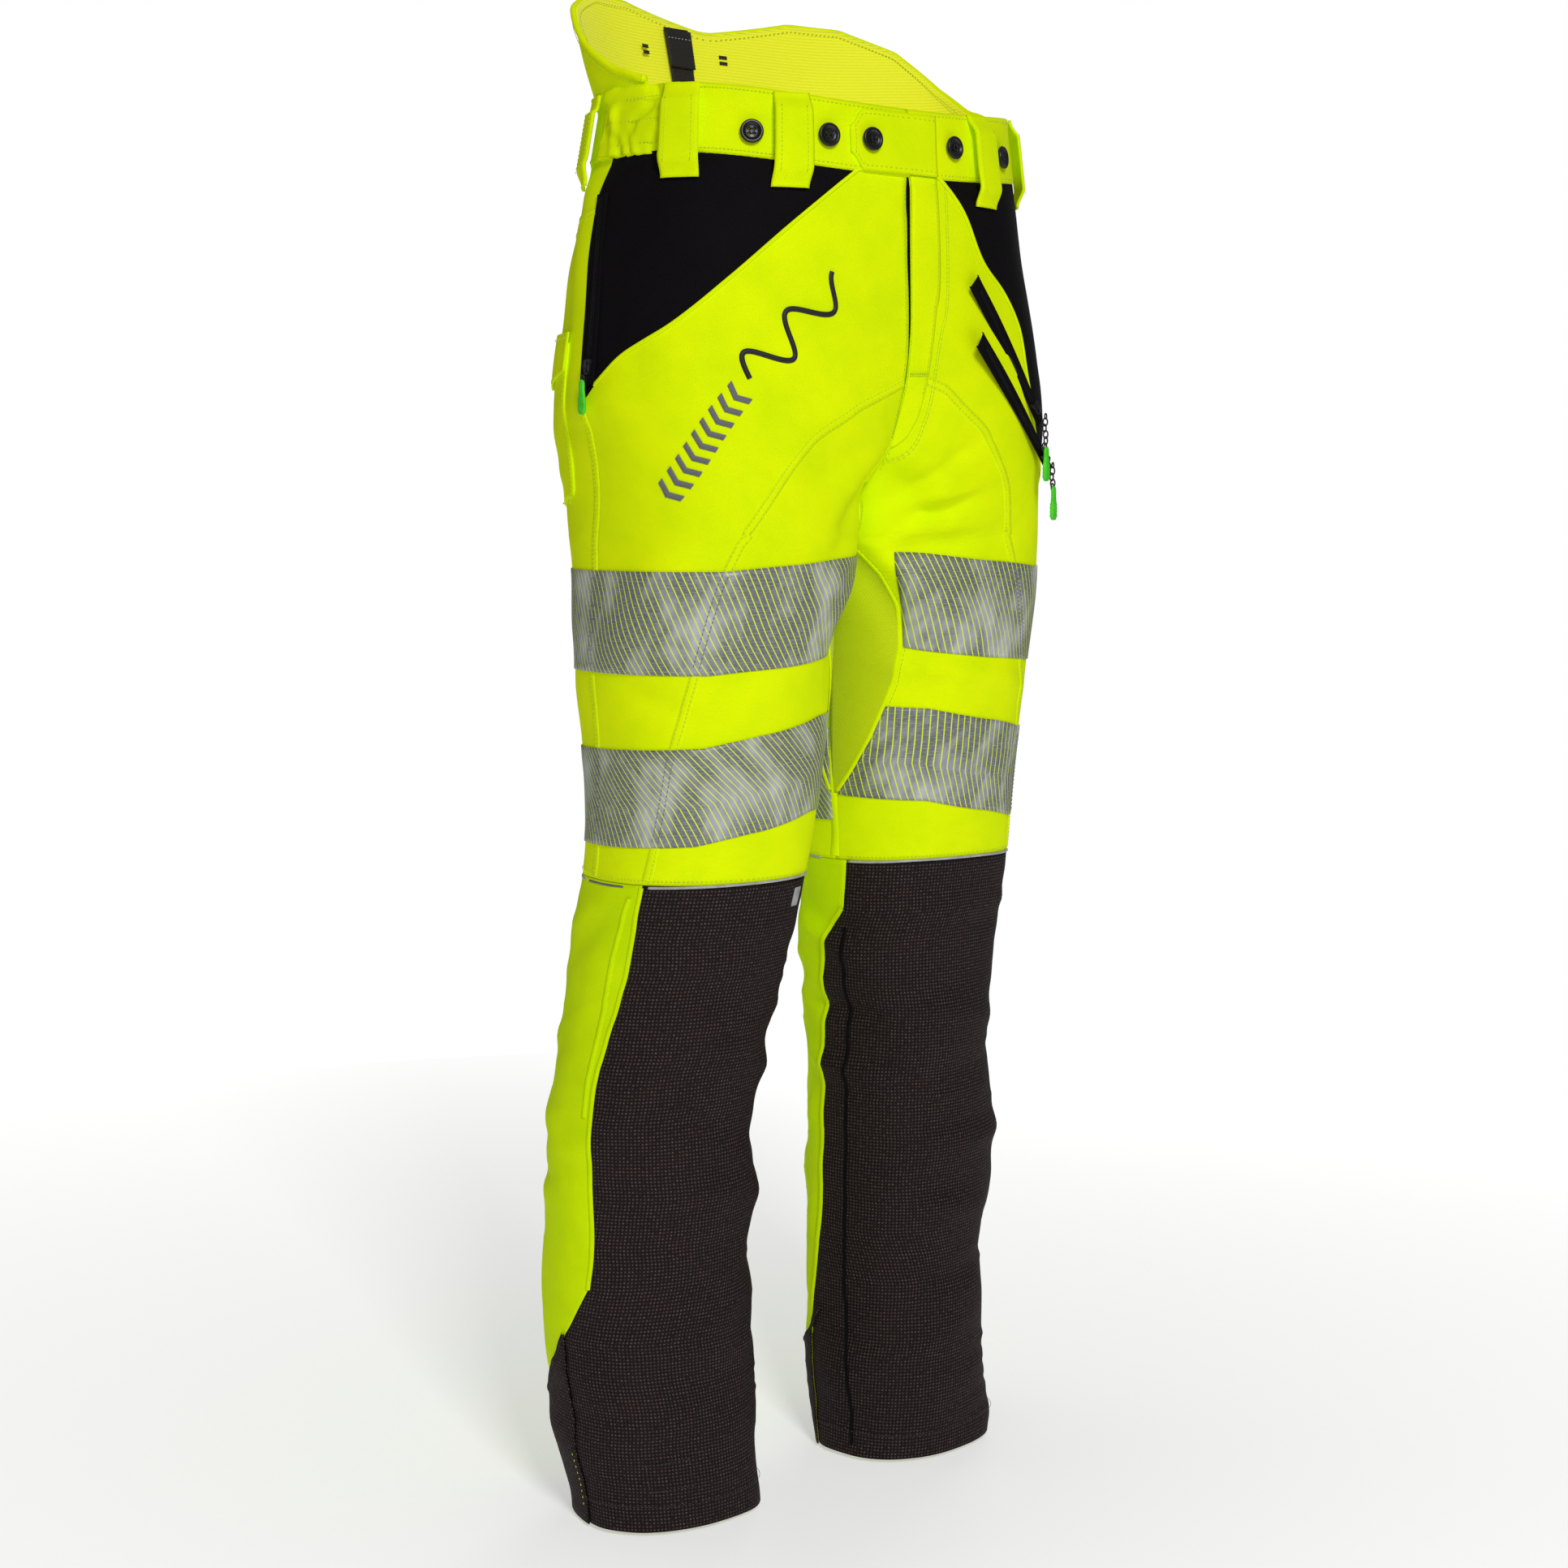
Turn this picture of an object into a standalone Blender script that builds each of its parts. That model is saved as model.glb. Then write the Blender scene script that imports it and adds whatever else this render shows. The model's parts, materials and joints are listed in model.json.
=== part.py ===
"""Hi-vis chainsaw trousers with a high back, brace buttons, zipped vents and saw-protection pads.

Metres, +Z up. The wearer faces -Y and the wearer's right is -X. z = 0 is the front top edge of the
waistband, x = 0 is the middle. Places on the garment are given as (w, z): w runs once round the body,
0 at the centre front, 0.5 at the wearer's right side, 1 at the centre back, 1.5 at the left side and
2 at the centre front again. Below the crotch w runs once round the right leg, from 0 at the inseam,
over the front, to 1 at the inseam again. Pieces of the left side are reflections of the right ones.
"""
import math
import bpy
import bmesh
from mathutils import Matrix, Vector

NAME = "chainsaw_trousers"

# Levels, from the waist down
WAIST_RISE = 0.012
WAISTBAND_DEPTH = 0.052
PELVIS_HEM_Z = -0.330
LEG_SPLIT_Z = -0.336
THIGH_TOP_Z = -0.345
UPPER_BAND_Z = (-0.347, -0.427)
LOWER_BAND_Z = (-0.485, -0.563)
THIGH_HEM_Z = -0.593
KNEE_SEAM_Z = -0.598
CALF_TOP_Z = -0.790
HEM_Z = -1.115

# Joint pivots
HIP_Z = -0.230
KNEE_Y = 0.020
KNEE_Z = -0.690

# The form: height, leg centre out, centre y, half width, depth to front, depth to back, toe-out (deg)
FORM = (
    (0.000, 0.000, 0.000, 0.178, 0.118, 0.120, 0.0),
    (-0.060, 0.000, 0.002, 0.188, 0.124, 0.128, 0.0),
    (-0.140, 0.024, 0.004, 0.180, 0.127, 0.137, 0.0),
    (-0.220, 0.064, 0.004, 0.148, 0.127, 0.137, 0.0),
    (-0.290, 0.094, 0.002, 0.109, 0.118, 0.122, 0.0),
    (-0.335, 0.103, 0.001, 0.101, 0.110, 0.112, 2.0),
    (-0.400, 0.106, 0.000, 0.097, 0.102, 0.104, 5.0),
    (-0.560, 0.110, 0.004, 0.087, 0.082, 0.084, 8.0),
    (-0.680, 0.122, 0.024, 0.083, 0.076, 0.078, 10.0),
    (-0.820, 0.136, 0.042, 0.083, 0.074, 0.076, 12.0),
    (-0.960, 0.137, 0.042, 0.081, 0.072, 0.074, 12.0),
    (HEM_Z, 0.130, 0.030, 0.077, 0.070, 0.070, 12.0),
)
ROUNDNESS = 2.3
BACK_FLARE = 0.28
# Top edge of the high back: w on the right half, height
HIGH_BACK_EDGE = ((0.46, 0.019), (0.52, 0.030), (0.60, 0.052), (0.70, 0.086), (0.80, 0.104),
                  (0.88, 0.106), (1.00, 0.090))

# Fabric
CLOTH = 0.0016
SEAM_GAP = 0.0015
CALF_GAP = 0.005
LAYER_GAP = 0.0005
BAND_THICK = 0.0008
PAD_LIFT = -0.0035
PAD_THICK = 0.006
THIGH_PAD_REACH = (0.06, 0.46)
THIGH_PAD_Z = (-0.357, -0.583)
SHIN_PAD_REACH = (0.04, 0.37)
SHIN_PAD_Z = (-0.630, -1.060)
BAND_REACH = (0.030, 0.970)
BAND_LIFT = 0.0022
SIDE_SEAM = 0.508
POCKET_DIAGONAL = ((-0.045, 0.064), (-0.088, 0.156), (-0.133, 0.255), (-0.168, 0.347), (-0.193, 0.440),
                   (-0.212, 0.488), (-0.226, 0.508))
HIP_TIP_Z = -0.2225
SHIN_FRONT = (-0.040, 0.404)
GUSSET_HALF_WIDTH = 0.025
GUSSET_TOP_Z = -0.268
GUSSET_Y = (-0.083, 0.093)
GUSSET_RIM_Z = -0.283
GUSSET_DROP = 0.044
GUSSET_CURL = 6.0
FRONT_BAND_END = 0.375
ELASTIC_END = 0.560
BAND_PIECE_GAP = 0.004
BAND_LIFT_OFF = 0.001
STRAP_CENTRE = 0.958
STRAP_HALF_REACH = 0.018
STRAP_Z = (0.082, 0.022)
STRAP_LIFT = -0.0038
TAB_REACH = (-0.035, 0.087)
TAB_Z = (-0.005, -0.049)
TAB_THICK = 0.0022
POCKET_REACH = (0.560, 0.800)
POCKET_Z = (-0.170, -0.305)

# Hardware
BUTTON_RADIUS = 0.009
BUTTON_THICK = 0.0042
BUTTON_HOLE_RADIUS = 0.0009
BUTTON_HOLE_SPREAD = 0.0026
TAPE_WIDTH = 0.014
TAPE_THICK = 0.0012
SLIDER_SIZE = (0.008, 0.0032, 0.012)
PULL_SIZE = (0.009, 0.0030, 0.028)
PULL_STANDOFF = 0.0026
UPPER_PULL_CORD = 0.026
LOWER_PULL_CORD = 0.018
LOOP_WIDTH = 0.030
LOOP_STANDOFF = 0.0090
LOOP_LIFT = 0.0028

COLOURS = {
    "hi_vis_yellow": ((0.62, 0.90, 0.0, 1.0), 0.75, 0.0),
    "lining_mesh": ((0.80, 0.85, 0.25, 1.0), 0.85, 0.0),
    "stretch_black": ((0.012, 0.010, 0.012, 1.0), 0.80, 0.0),
    "reflective_silver": ((0.42, 0.43, 0.45, 1.0), 0.35, 0.3),
    "ripstop_charcoal": ((0.028, 0.020, 0.020, 1.0), 0.85, 0.0),
    "button_plastic": ((0.015, 0.015, 0.016, 1.0), 0.25, 0.0),
    "webbing_black": ((0.015, 0.014, 0.014, 1.0), 0.70, 0.0),
    "zip_coil": ((0.014, 0.014, 0.014, 1.0), 0.55, 0.0),
    "zip_metal": ((0.05, 0.05, 0.055, 1.0), 0.35, 0.9),
    "pull_rubber": ((0.07, 0.70, 0.02, 1.0), 0.50, 0.0),
    "pad_fibre": ((0.75, 0.73, 0.66, 1.0), 0.95, 0.0),
    "gusset_mesh": ((0.55, 0.62, 0.0, 1.0), 0.85, 0.0),
}


def clear_scene():
    for item in list(bpy.data.objects):
        bpy.data.objects.remove(item, do_unlink=True)


def collection(name):
    made = bpy.data.collections.new(name)
    bpy.context.scene.collection.children.link(made)
    return made


def material(name):
    found = bpy.data.materials.get(name)
    if found is None:
        colour, roughness, metallic = COLOURS[name]
        found = bpy.data.materials.new(name)
        found.use_nodes = True
        shader = found.node_tree.nodes["Principled BSDF"]
        shader.inputs["Base Color"].default_value = colour
        shader.inputs["Roughness"].default_value = roughness
        shader.inputs["Metallic"].default_value = metallic
        found.diffuse_color = colour
    return found


def own_material(item, kind):
    """A copy of the named finish for this one sub-part."""
    made = material(kind).copy()
    made.name = item.name + "_" + kind
    item.data.materials.clear()
    item.data.materials.append(made)


def smoothstep(low, high, value):
    t = min(1.0, max(0.0, (value - low) / (high - low)))
    return t * t * (3.0 - 2.0 * t)


def along(points, value):
    """Straight-line reading of (position, value) pairs; positions may run up or down."""
    pairs = sorted(points)
    if value <= pairs[0][0]:
        return pairs[0][1]
    for (x0, y0), (x1, y1) in zip(pairs, pairs[1:]):
        if value <= x1:
            return y0 + (y1 - y0) * (value - x0) / (x1 - x0)
    return pairs[-1][1]


def slope(column, k):
    low = max(0, k - 1)
    high = min(len(FORM) - 1, k + 1)
    return (FORM[high][column] - FORM[low][column]) / (FORM[high][0] - FORM[low][0])


def form_value(column, z):
    """Smooth curve through one column of FORM."""
    if z >= FORM[0][0]:
        return FORM[0][column]
    if z <= FORM[-1][0]:
        return FORM[-1][column]
    k = next(i for i in range(len(FORM) - 1) if z >= FORM[i + 1][0])
    step = FORM[k + 1][0] - FORM[k][0]
    t = (z - FORM[k][0]) / step
    start = FORM[k][column]
    end = FORM[k + 1][column]
    rise = start * (2 * t ** 3 - 3 * t ** 2 + 1) + end * (3 * t ** 2 - 2 * t ** 3)
    bend = slope(column, k) * (t ** 3 - 2 * t ** 2 + t) + slope(column, k + 1) * (t ** 3 - t ** 2)
    return rise + bend * step


def surface(w, z):
    """A point on the garment's outer face; below the crotch, one on the right leg."""
    leg = z < LEG_SPLIT_Z
    w = w % 1.0 if leg else w % 2.0
    right = w <= 1.0
    u = w if right else 2.0 - w
    out, mid_y, half, front, back, toe = (form_value(column, z) for column in range(1, 7))
    ratio = min(1.0, max(0.0, out / half))
    start = math.acos(ratio ** (ROUNDNESS / 2.0))
    angle = start + u * (2.0 * math.pi - 2.0 * start)
    power = 2.0 / ROUNDNESS
    c, s = math.cos(angle), math.sin(angle)
    x = half * math.copysign(abs(c) ** power, c)
    y = -(front if s > 0.0 else back) * math.copysign(abs(s) ** power, s)
    turn = math.radians(toe)
    px = -out + x * math.cos(turn) + y * math.sin(turn)
    py = mid_y + y * math.cos(turn) - x * math.sin(turn)
    if z > 0.0:
        flare = 1.0 + BACK_FLARE * z * smoothstep(0.3, 0.6, u) / half
        px, py = px * flare, py * flare
    return Vector((px if right else -px, py, z))


def normal(w, z):
    step = 0.002
    across = surface(w + step, z) - surface(w - step, z)
    down = surface(w, z - step) - surface(w, z + step)
    return across.cross(down).normalized()


def garment(w, z, lift=0.0):
    return surface(w, z) + normal(w, z) * lift


def waist_top(w):
    u = w % 2.0
    u = u if u <= 1.0 else 2.0 - u
    return WAIST_RISE * smoothstep(0.0, 0.4, u)


def waist_bottom(w):
    return waist_top(w) - WAISTBAND_DEPTH


def high_back_top(w):
    return along(HIGH_BACK_EDGE, w if w <= 1.0 else 2.0 - w)


def u_at_width(z, width, back=False):
    """The place nearest the centre where the garment stands this far from the middle plane."""
    low, high = 0.0, 0.3
    for _ in range(30):
        middle = (low + high) / 2.0
        u = 1.0 - middle if back else middle
        if abs(surface(u, z).x) < width:
            low = middle
        else:
            high = middle
    return 1.0 - high if back else high


def value(thing, at):
    return thing(at) if callable(thing) else thing


def place(sides, levels, s, t):
    """(w, z) at fraction s across and t down a patch whose limits may depend on each other."""
    z = (value(levels[0], 0.5) + value(levels[1], 0.5)) / 2.0
    for _ in range(6):
        w_low, w_high = value(sides[0], z), value(sides[1], z)
        w = w_low + (w_high - w_low) * s
        z_top, z_bottom = value(levels[0], w), value(levels[1], w)
        z = z_top + (z_bottom - z_top) * t
    return w, z


def grid_mesh(name, rows):
    """An open sheet through rows of points, with its faces towards the outside."""
    mesh = bpy.data.meshes.new(name)
    bm = bmesh.new()
    corners = [[bm.verts.new(point) for point in row] for row in rows]
    for upper, lower in zip(corners, corners[1:]):
        for k in range(len(upper) - 1):
            bm.faces.new((upper[k], upper[k + 1], lower[k + 1], lower[k]))
    bm.to_mesh(mesh)
    bm.free()
    return mesh


def sheet_object(name, rows, thickness, kind, outward=False):
    item = bpy.data.objects.new(name, grid_mesh(name, rows))
    PARTS.objects.link(item)
    solid = item.modifiers.new("thickness", "SOLIDIFY")
    solid.thickness = thickness
    solid.offset = 1.0 if outward else -1.0
    item.data.shade_smooth()
    own_material(item, kind)
    return item


def panel(name, sides, levels, count, kind, lift=0.0, thickness=CLOTH, outward=False, left=False):
    """A piece of cloth cut to limits in (w, z), lying on the form at the given lift.

    With left, it is the reflection of that piece in the plane x = 0.
    """
    columns, lines = count
    rows = []
    for i in range(lines + 1):
        row = []
        for k in range(columns + 1):
            w, z = place(sides, levels, k / columns, i / lines)
            raised = lift(k / columns, i / lines) if callable(lift) else lift
            row.append(garment(w, z, raised))
        rows.append([Vector((-p.x, p.y, p.z)) for p in reversed(row)] if left else row)
    return sheet_object(name, rows, thickness, kind, outward)


def side_name(right):
    return "right" if right else "left"


def make_waist():
    """Waistband in two front halves, gathered sides and a back half, with the high back above."""
    for right in (True, False):
        side = side_name(right)
        panel(side + "_front_waistband", (0.002, FRONT_BAND_END), (waist_top, waist_bottom), (9, 1),
              "hi_vis_yellow", thickness=0.003, lift=BAND_LIFT_OFF, left=not right)
        panel(side + "_side_elastic", (FRONT_BAND_END + BAND_PIECE_GAP, ELASTIC_END), (waist_top, waist_bottom),
              (6, 1), "hi_vis_yellow", thickness=0.004, lift=BAND_LIFT_OFF, left=not right)
    back_start = ELASTIC_END + BAND_PIECE_GAP
    panel("back_waistband", (back_start, 2.0 - back_start), (waist_top, waist_bottom),
          (18, 1), "hi_vis_yellow", thickness=0.003, lift=BAND_LIFT_OFF)
    base = lambda w: waist_top(w) + 0.001
    sides = (HIGH_BACK_EDGE[0][0], 2.0 - HIGH_BACK_EDGE[0][0])
    panel("high_back", sides, (high_back_top, base), (24, 3), "hi_vis_yellow", lift=BAND_LIFT_OFF)
    panel("high_back_lining", sides, (lambda w: high_back_top(w) - 0.003, base), (24, 3), "lining_mesh",
          lift=BAND_LIFT_OFF - CLOTH - LAYER_GAP, thickness=0.0012)
    panel("waist_tab", TAB_REACH, TAB_Z, (6, 2), "hi_vis_yellow",
          lift=BAND_LIFT_OFF + LAYER_GAP, thickness=TAB_THICK, outward=True)
    strap = (STRAP_CENTRE - STRAP_HALF_REACH, STRAP_CENTRE + STRAP_HALF_REACH)
    panel("back_strap", strap, STRAP_Z, (4, 3), "webbing_black", lift=STRAP_LIFT, thickness=0.0020)


def make_hips():
    """Front panels with a black stretch panel set in at each hip, and the two seat panels."""
    for right in (True, False):
        side = side_name(right)
        diagonal = lambda z: along(POCKET_DIAGONAL, z)
        front_edge = lambda z: diagonal(z) - SEAM_GAP
        middle_edge = lambda z: 0.003 if z > GUSSET_TOP_Z else u_at_width(z, GUSSET_HALF_WIDTH + 0.003)
        seam = lambda w: waist_bottom(w) - 0.001
        panel(side + "_front_panel", (middle_edge, front_edge), (seam, PELVIS_HEM_Z), (12, 11),
              "hi_vis_yellow", left=not right)
        panel(side + "_hip_panel", (lambda z: diagonal(z) + SEAM_GAP, SIDE_SEAM), (seam, HIP_TIP_Z),
              (9, 7), "stretch_black", left=not right)
        seat_edge = lambda z: 0.997 if z > GUSSET_TOP_Z else u_at_width(z, GUSSET_HALF_WIDTH + 0.003, True)
        panel(side + "_seat_panel", (SIDE_SEAM + 0.002, seat_edge), (seam, PELVIS_HEM_Z), (12, 9),
              "hi_vis_yellow", left=not right)
    panel("right_back_pocket", POCKET_REACH, POCKET_Z, (7, 5), "hi_vis_yellow",
          lift=0.0024, thickness=0.0030, outward=True)
    make_gusset()


def make_gusset():
    """The saddle of stretch mesh under the crotch."""
    rows = []
    for i in range(13):
        s = i / 12.0
        row = []
        for k in range(7):
            x = -GUSSET_HALF_WIDTH + 2.0 * GUSSET_HALF_WIDTH * k / 6.0
            z = GUSSET_RIM_Z - GUSSET_DROP * math.sin(math.pi * s) ** 0.8 - GUSSET_CURL * x * x
            y = GUSSET_Y[0] + (GUSSET_Y[1] - GUSSET_Y[0]) * s
            row.append(Vector((x, y, z)))
        rows.append(row[::-1])
    sheet_object("crotch_gusset", rows, CLOTH, "gusset_mesh")


def make_legs():
    for right in (True, False):
        make_thigh(side_name(right), not right)
        make_shin(side_name(right), not right)


def make_thigh(side, left):
    cloth = (THIGH_TOP_Z, THIGH_HEM_Z)
    panel(side + "_thigh_front", (0.002, SIDE_SEAM - 0.002), cloth, (11, 5), "hi_vis_yellow", left=left)
    panel(side + "_thigh_back", (SIDE_SEAM, 0.998), cloth, (11, 5), "hi_vis_yellow", left=left)
    for word, levels in (("upper", UPPER_BAND_Z), ("lower", LOWER_BAND_Z)):
        panel(side + "_" + word + "_band", BAND_REACH, levels, (20, 1), "reflective_silver",
              lift=BAND_LIFT, thickness=BAND_THICK, outward=True, left=left)
    panel(side + "_thigh_pad", THIGH_PAD_REACH, THIGH_PAD_Z, (8, 4), "pad_fibre",
          lift=PAD_LIFT, thickness=PAD_THICK, left=left)


def make_shin(side, left):
    behind = (SHIN_FRONT[1] + CALF_GAP, 1.0 + SHIN_FRONT[0] - CALF_GAP)
    fold = (KNEE_SEAM_Z, CALF_TOP_Z + 0.002)
    panel(side + "_shin_front", SHIN_FRONT, (KNEE_SEAM_Z, HEM_Z), (10, 9), "ripstop_charcoal", left=left)
    panel(side + "_calf", behind, (CALF_TOP_Z, HEM_Z), (11, 5), "hi_vis_yellow", left=left)
    panel(side + "_knee_fold", behind, fold, (11, 4), "hi_vis_yellow", left=left)
    panel(side + "_shin_pad", SHIN_PAD_REACH, SHIN_PAD_Z, (7, 7), "pad_fibre",
          lift=PAD_LIFT, thickness=PAD_THICK, left=left)


def loop_lift(s, t):
    """A belt loop is sewn down at both ends and stands off between them."""
    return LOOP_LIFT + LOOP_STANDOFF * smoothstep(0.0, 0.25, t) * smoothstep(1.0, 0.75, t)


def make_belt_loops():
    centres = (0.180, 0.372, 0.610, 1.390, 1.635, 1.872)
    half = LOOP_WIDTH / 2.0
    for number, w in enumerate(centres, 1):
        step = surface(w + 0.01, -0.03) - surface(w - 0.01, -0.03)
        spread = half * 0.02 / step.length
        top = waist_top(w) - 0.003
        bottom = waist_bottom(w) - 0.018
        panel("belt_loop_{}".format(number), (w - spread, w + spread), (top, bottom), (2, 10),
              "hi_vis_yellow", lift=loop_lift, thickness=0.0018, outward=True)


def facing(w, z, lift):
    """A frame on the garment: origin at the lift, local Z out of the cloth, local Y up."""
    out = normal(w, z)
    up = (Vector((0, 0, 1)) - out * out.z).normalized()
    side = up.cross(out)
    spin = Matrix((side, up, out)).transposed().to_4x4()
    return Matrix.Translation(garment(w, z, lift)) @ spin


def turned(name, profile, steps):
    """A closed turned shape about local Z from (radius, height) points."""
    mesh = bpy.data.meshes.new(name)
    points = [(radius, 0.0, height) for radius, height in profile]
    mesh.from_pydata(points, [(i, i + 1) for i in range(len(points) - 1)], [])
    item = bpy.data.objects.new(name, mesh)
    PARTS.objects.link(item)
    screw = item.modifiers.new("turn", "SCREW")
    screw.steps = steps
    screw.render_steps = steps
    screw.use_merge_vertices = True
    screw.merge_threshold = 0.00005
    return item


def hole_cutter():
    """Four thread holes, as one cutter shared by all the buttons."""
    mesh = bpy.data.meshes.new("button_holes")
    bm = bmesh.new()
    for k in range(4):
        angle = math.pi / 4.0 + k * math.pi / 2.0
        spot = Vector((math.cos(angle), math.sin(angle), 0.0)) * BUTTON_HOLE_SPREAD
        bmesh.ops.create_cone(bm, cap_ends=True, segments=6, radius1=BUTTON_HOLE_RADIUS,
                              radius2=BUTTON_HOLE_RADIUS, depth=0.02, matrix=Matrix.Translation(spot))
    bm.to_mesh(mesh)
    bm.free()
    return mesh


def make_button(name, frame, holes):
    r, h = BUTTON_RADIUS, BUTTON_THICK
    profile = ((0.0, h * 0.62), (r * 0.58, h * 0.62), (r * 0.72, h), (r * 0.90, h), (r, h * 0.60),
               (r * 0.85, 0.0), (0.0, 0.0))
    item = turned(name, profile, 16)
    item.matrix_world = frame
    cutter = bpy.data.objects.new(name + "_holes", holes)
    CUTTERS.objects.link(cutter)
    cutter.matrix_world = frame
    cutter.hide_render = True
    cutter.display_type = "WIRE"
    cut = item.modifiers.new("holes", "BOOLEAN")
    cut.object = cutter
    own_material(item, "button_plastic")


def make_buttons():
    holes = hole_cutter()
    on_band = BAND_LIFT_OFF + LAYER_GAP
    front = (0.121, 0.242, 1.933, 1.800)
    for number, w in enumerate(front, 1):
        make_button("brace_button_{}".format(number), facing(w, -0.026, on_band), holes)
    make_button("waist_button", facing(0.058, -0.027, on_band + TAB_THICK + LAYER_GAP), holes)
    for number, w in enumerate((0.905, 1.095), 1):
        make_button("back_button_{}".format(number), facing(w, 0.055, on_band), holes)


def box(name, size, frame, kind, bevel=0.0006):
    """A rounded block, size along the frame's X, Y and Z."""
    mesh = bpy.data.meshes.new(name)
    bm = bmesh.new()
    bmesh.ops.create_cube(bm, size=1.0, matrix=Matrix.Diagonal((*size, 1.0)))
    bm.to_mesh(mesh)
    bm.free()
    item = bpy.data.objects.new(name, mesh)
    PARTS.objects.link(item)
    item.matrix_world = frame
    if bevel:
        edge = item.modifiers.new("edge", "BEVEL")
        edge.width = bevel
        edge.segments = 1
    own_material(item, kind)
    return item


def zip_line(start, end, lift):
    """Straight run between two places on the garment, standing clear of it by at least the lift.

    Returns the two ends and a frame whose X runs along the zip and whose Z points out of the cloth.
    """
    a, b = surface(*start), surface(*end)
    middle = ((start[0] + end[0]) / 2.0, (start[1] + end[1]) / 2.0)
    run = (b - a).normalized()
    out = normal(*middle)
    out = (out - run * out.dot(run)).normalized()
    swell = 0.0
    for k in range(21):
        t = k / 20.0
        w = start[0] + (end[0] - start[0]) * t
        z = start[1] + (end[1] - start[1]) * t
        swell = max(swell, (surface(w, z) - a).dot(out))
    raise_by = out * (swell + lift)
    spin = Matrix((run, out.cross(run), out)).transposed().to_4x4()
    return a + raise_by, b + raise_by, spin


def make_zip(prefix, start, end, lift, cord):
    """Tape and coil in a straight run, with a slider parked at its end and a pull hung on it.

    The pull hangs on a cord of that length, or straight from the slider where there is none.
    """
    a, b, spin = zip_line(start, end, lift)
    length = (b - a).length + 0.016
    centre = (a + b) / 2.0
    tape = Matrix.Translation(centre) @ spin @ Matrix.Translation((0, 0, TAPE_THICK / 2.0))
    box(prefix + "_zip", (length, TAPE_WIDTH, TAPE_THICK), tape, "zip_coil", bevel=0.0003)
    width, deep, tall = SLIDER_SIZE
    on_tape = TAPE_THICK + LAYER_GAP + deep / 2.0
    block = Matrix.Translation(b) @ spin @ Matrix.Translation((-tall / 2.0, 0, on_tape))
    box(prefix + "_slider", (tall, width, deep), block, "zip_metal")
    hinge = Matrix.Translation(b) @ spin @ Matrix.Translation((0.0012, 0, TAPE_THICK + 0.0022))
    hang = hang_frame(hinge)
    if cord:
        make_cord_pull(prefix + "_pull", hang, cord)
    else:
        make_tag_pull(prefix + "_pull", hang)


def hang_frame(hinge):
    """A pull hangs from its hinge: local Z out of the cloth, local Y straight up along the cloth."""
    out = hinge.to_3x3() @ Vector((0, 0, 1))
    up = (Vector((0, 0, 1)) - out * out.z).normalized()
    spin = Matrix((up.cross(out), up, out)).transposed().to_4x4()
    return Matrix.Translation(hinge.translation) @ spin


def make_tag_pull(name, hang):
    width, deep, tall = PULL_SIZE
    frame = hang @ Matrix.Translation((0, -tall / 2.0 - 0.0012, 0.0008))
    box(name, (width, tall, deep), frame, "pull_rubber", bevel=0.0010)
    hang_on_joint(name, hang)


def hang_on_joint(name, hang):
    """Move the object's origin onto the hinge without moving its shape."""
    item = bpy.data.objects[name]
    item.data.transform(hang.inverted() @ item.matrix_world)
    item.matrix_world = hang


def tube(points, radius):
    """A closed tube along the points, as a mesh."""
    curve = bpy.data.curves.new("tube", "CURVE")
    curve.dimensions = "3D"
    curve.bevel_depth = radius
    curve.bevel_resolution = 2
    curve.use_fill_caps = True
    spline = curve.splines.new("POLY")
    spline.points.add(len(points) - 1)
    for spot, point in zip(spline.points, points):
        spot.co = (*point, 1.0)
    item = bpy.data.objects.new("tube", curve)
    PARTS.objects.link(item)
    mesh = bpy.data.meshes.new_from_object(item.evaluated_get(bpy.context.evaluated_depsgraph_get()))
    bpy.data.objects.remove(item, do_unlink=True)
    bm = bmesh.new()
    bm.from_mesh(mesh)
    bmesh.ops.remove_doubles(bm, verts=bm.verts, dist=0.00001)
    bmesh.ops.recalc_face_normals(bm, faces=bm.faces)
    bm.to_mesh(mesh)
    bm.free()
    return mesh


def union(item, mesh, name):
    """Join a closed mesh onto the item; the helper is kept out of the model."""
    helper = bpy.data.objects.new(name, mesh)
    CUTTERS.objects.link(helper)
    helper.matrix_world = item.matrix_world
    helper.hide_render = True
    helper.display_type = "WIRE"
    join = item.modifiers.new(name, "BOOLEAN")
    join.operation = "UNION"
    join.object = helper


def make_cord_pull(name, hang, drop):
    """A doubled cord from the slider to a ring, and on to a moulded grip, as one hanging piece."""
    width, deep, tall = PULL_SIZE
    frame = hang @ Matrix.Translation((0, -drop - tall / 2.0, PULL_STANDOFF))
    item = box(name, (width, tall, 0.0040), frame, "pull_rubber", bevel=0.0012)
    hang_on_joint(name, hang)
    cord = [Vector((0, -0.0014 - (drop + 0.002) * k / 6.0, PULL_STANDOFF)) for k in range(7)]
    union(item, tube(cord, 0.0011), name + "_cord")
    ring = [Vector((0.0042 * math.cos(a), -drop / 2.0 - 0.0042 * math.sin(a), PULL_STANDOFF))
            for a in (math.pi / 2.0 + math.pi * 2.0 * k / 15.5 for k in range(15))]
    union(item, tube(ring, 0.0009), name + "_ring")


def make_zips():
    make_zip("pocket", (0.5155, -0.075), (0.496, -0.205), LAYER_GAP, 0.0)
    make_zip("upper_vent", (2.0 - 0.095, -0.138), (2.0 - 0.240, -0.229), LAYER_GAP, UPPER_PULL_CORD)
    make_zip("lower_vent", (2.0 - 0.095, -0.182), (2.0 - 0.300, -0.268), LAYER_GAP, LOWER_PULL_CORD)


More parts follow.
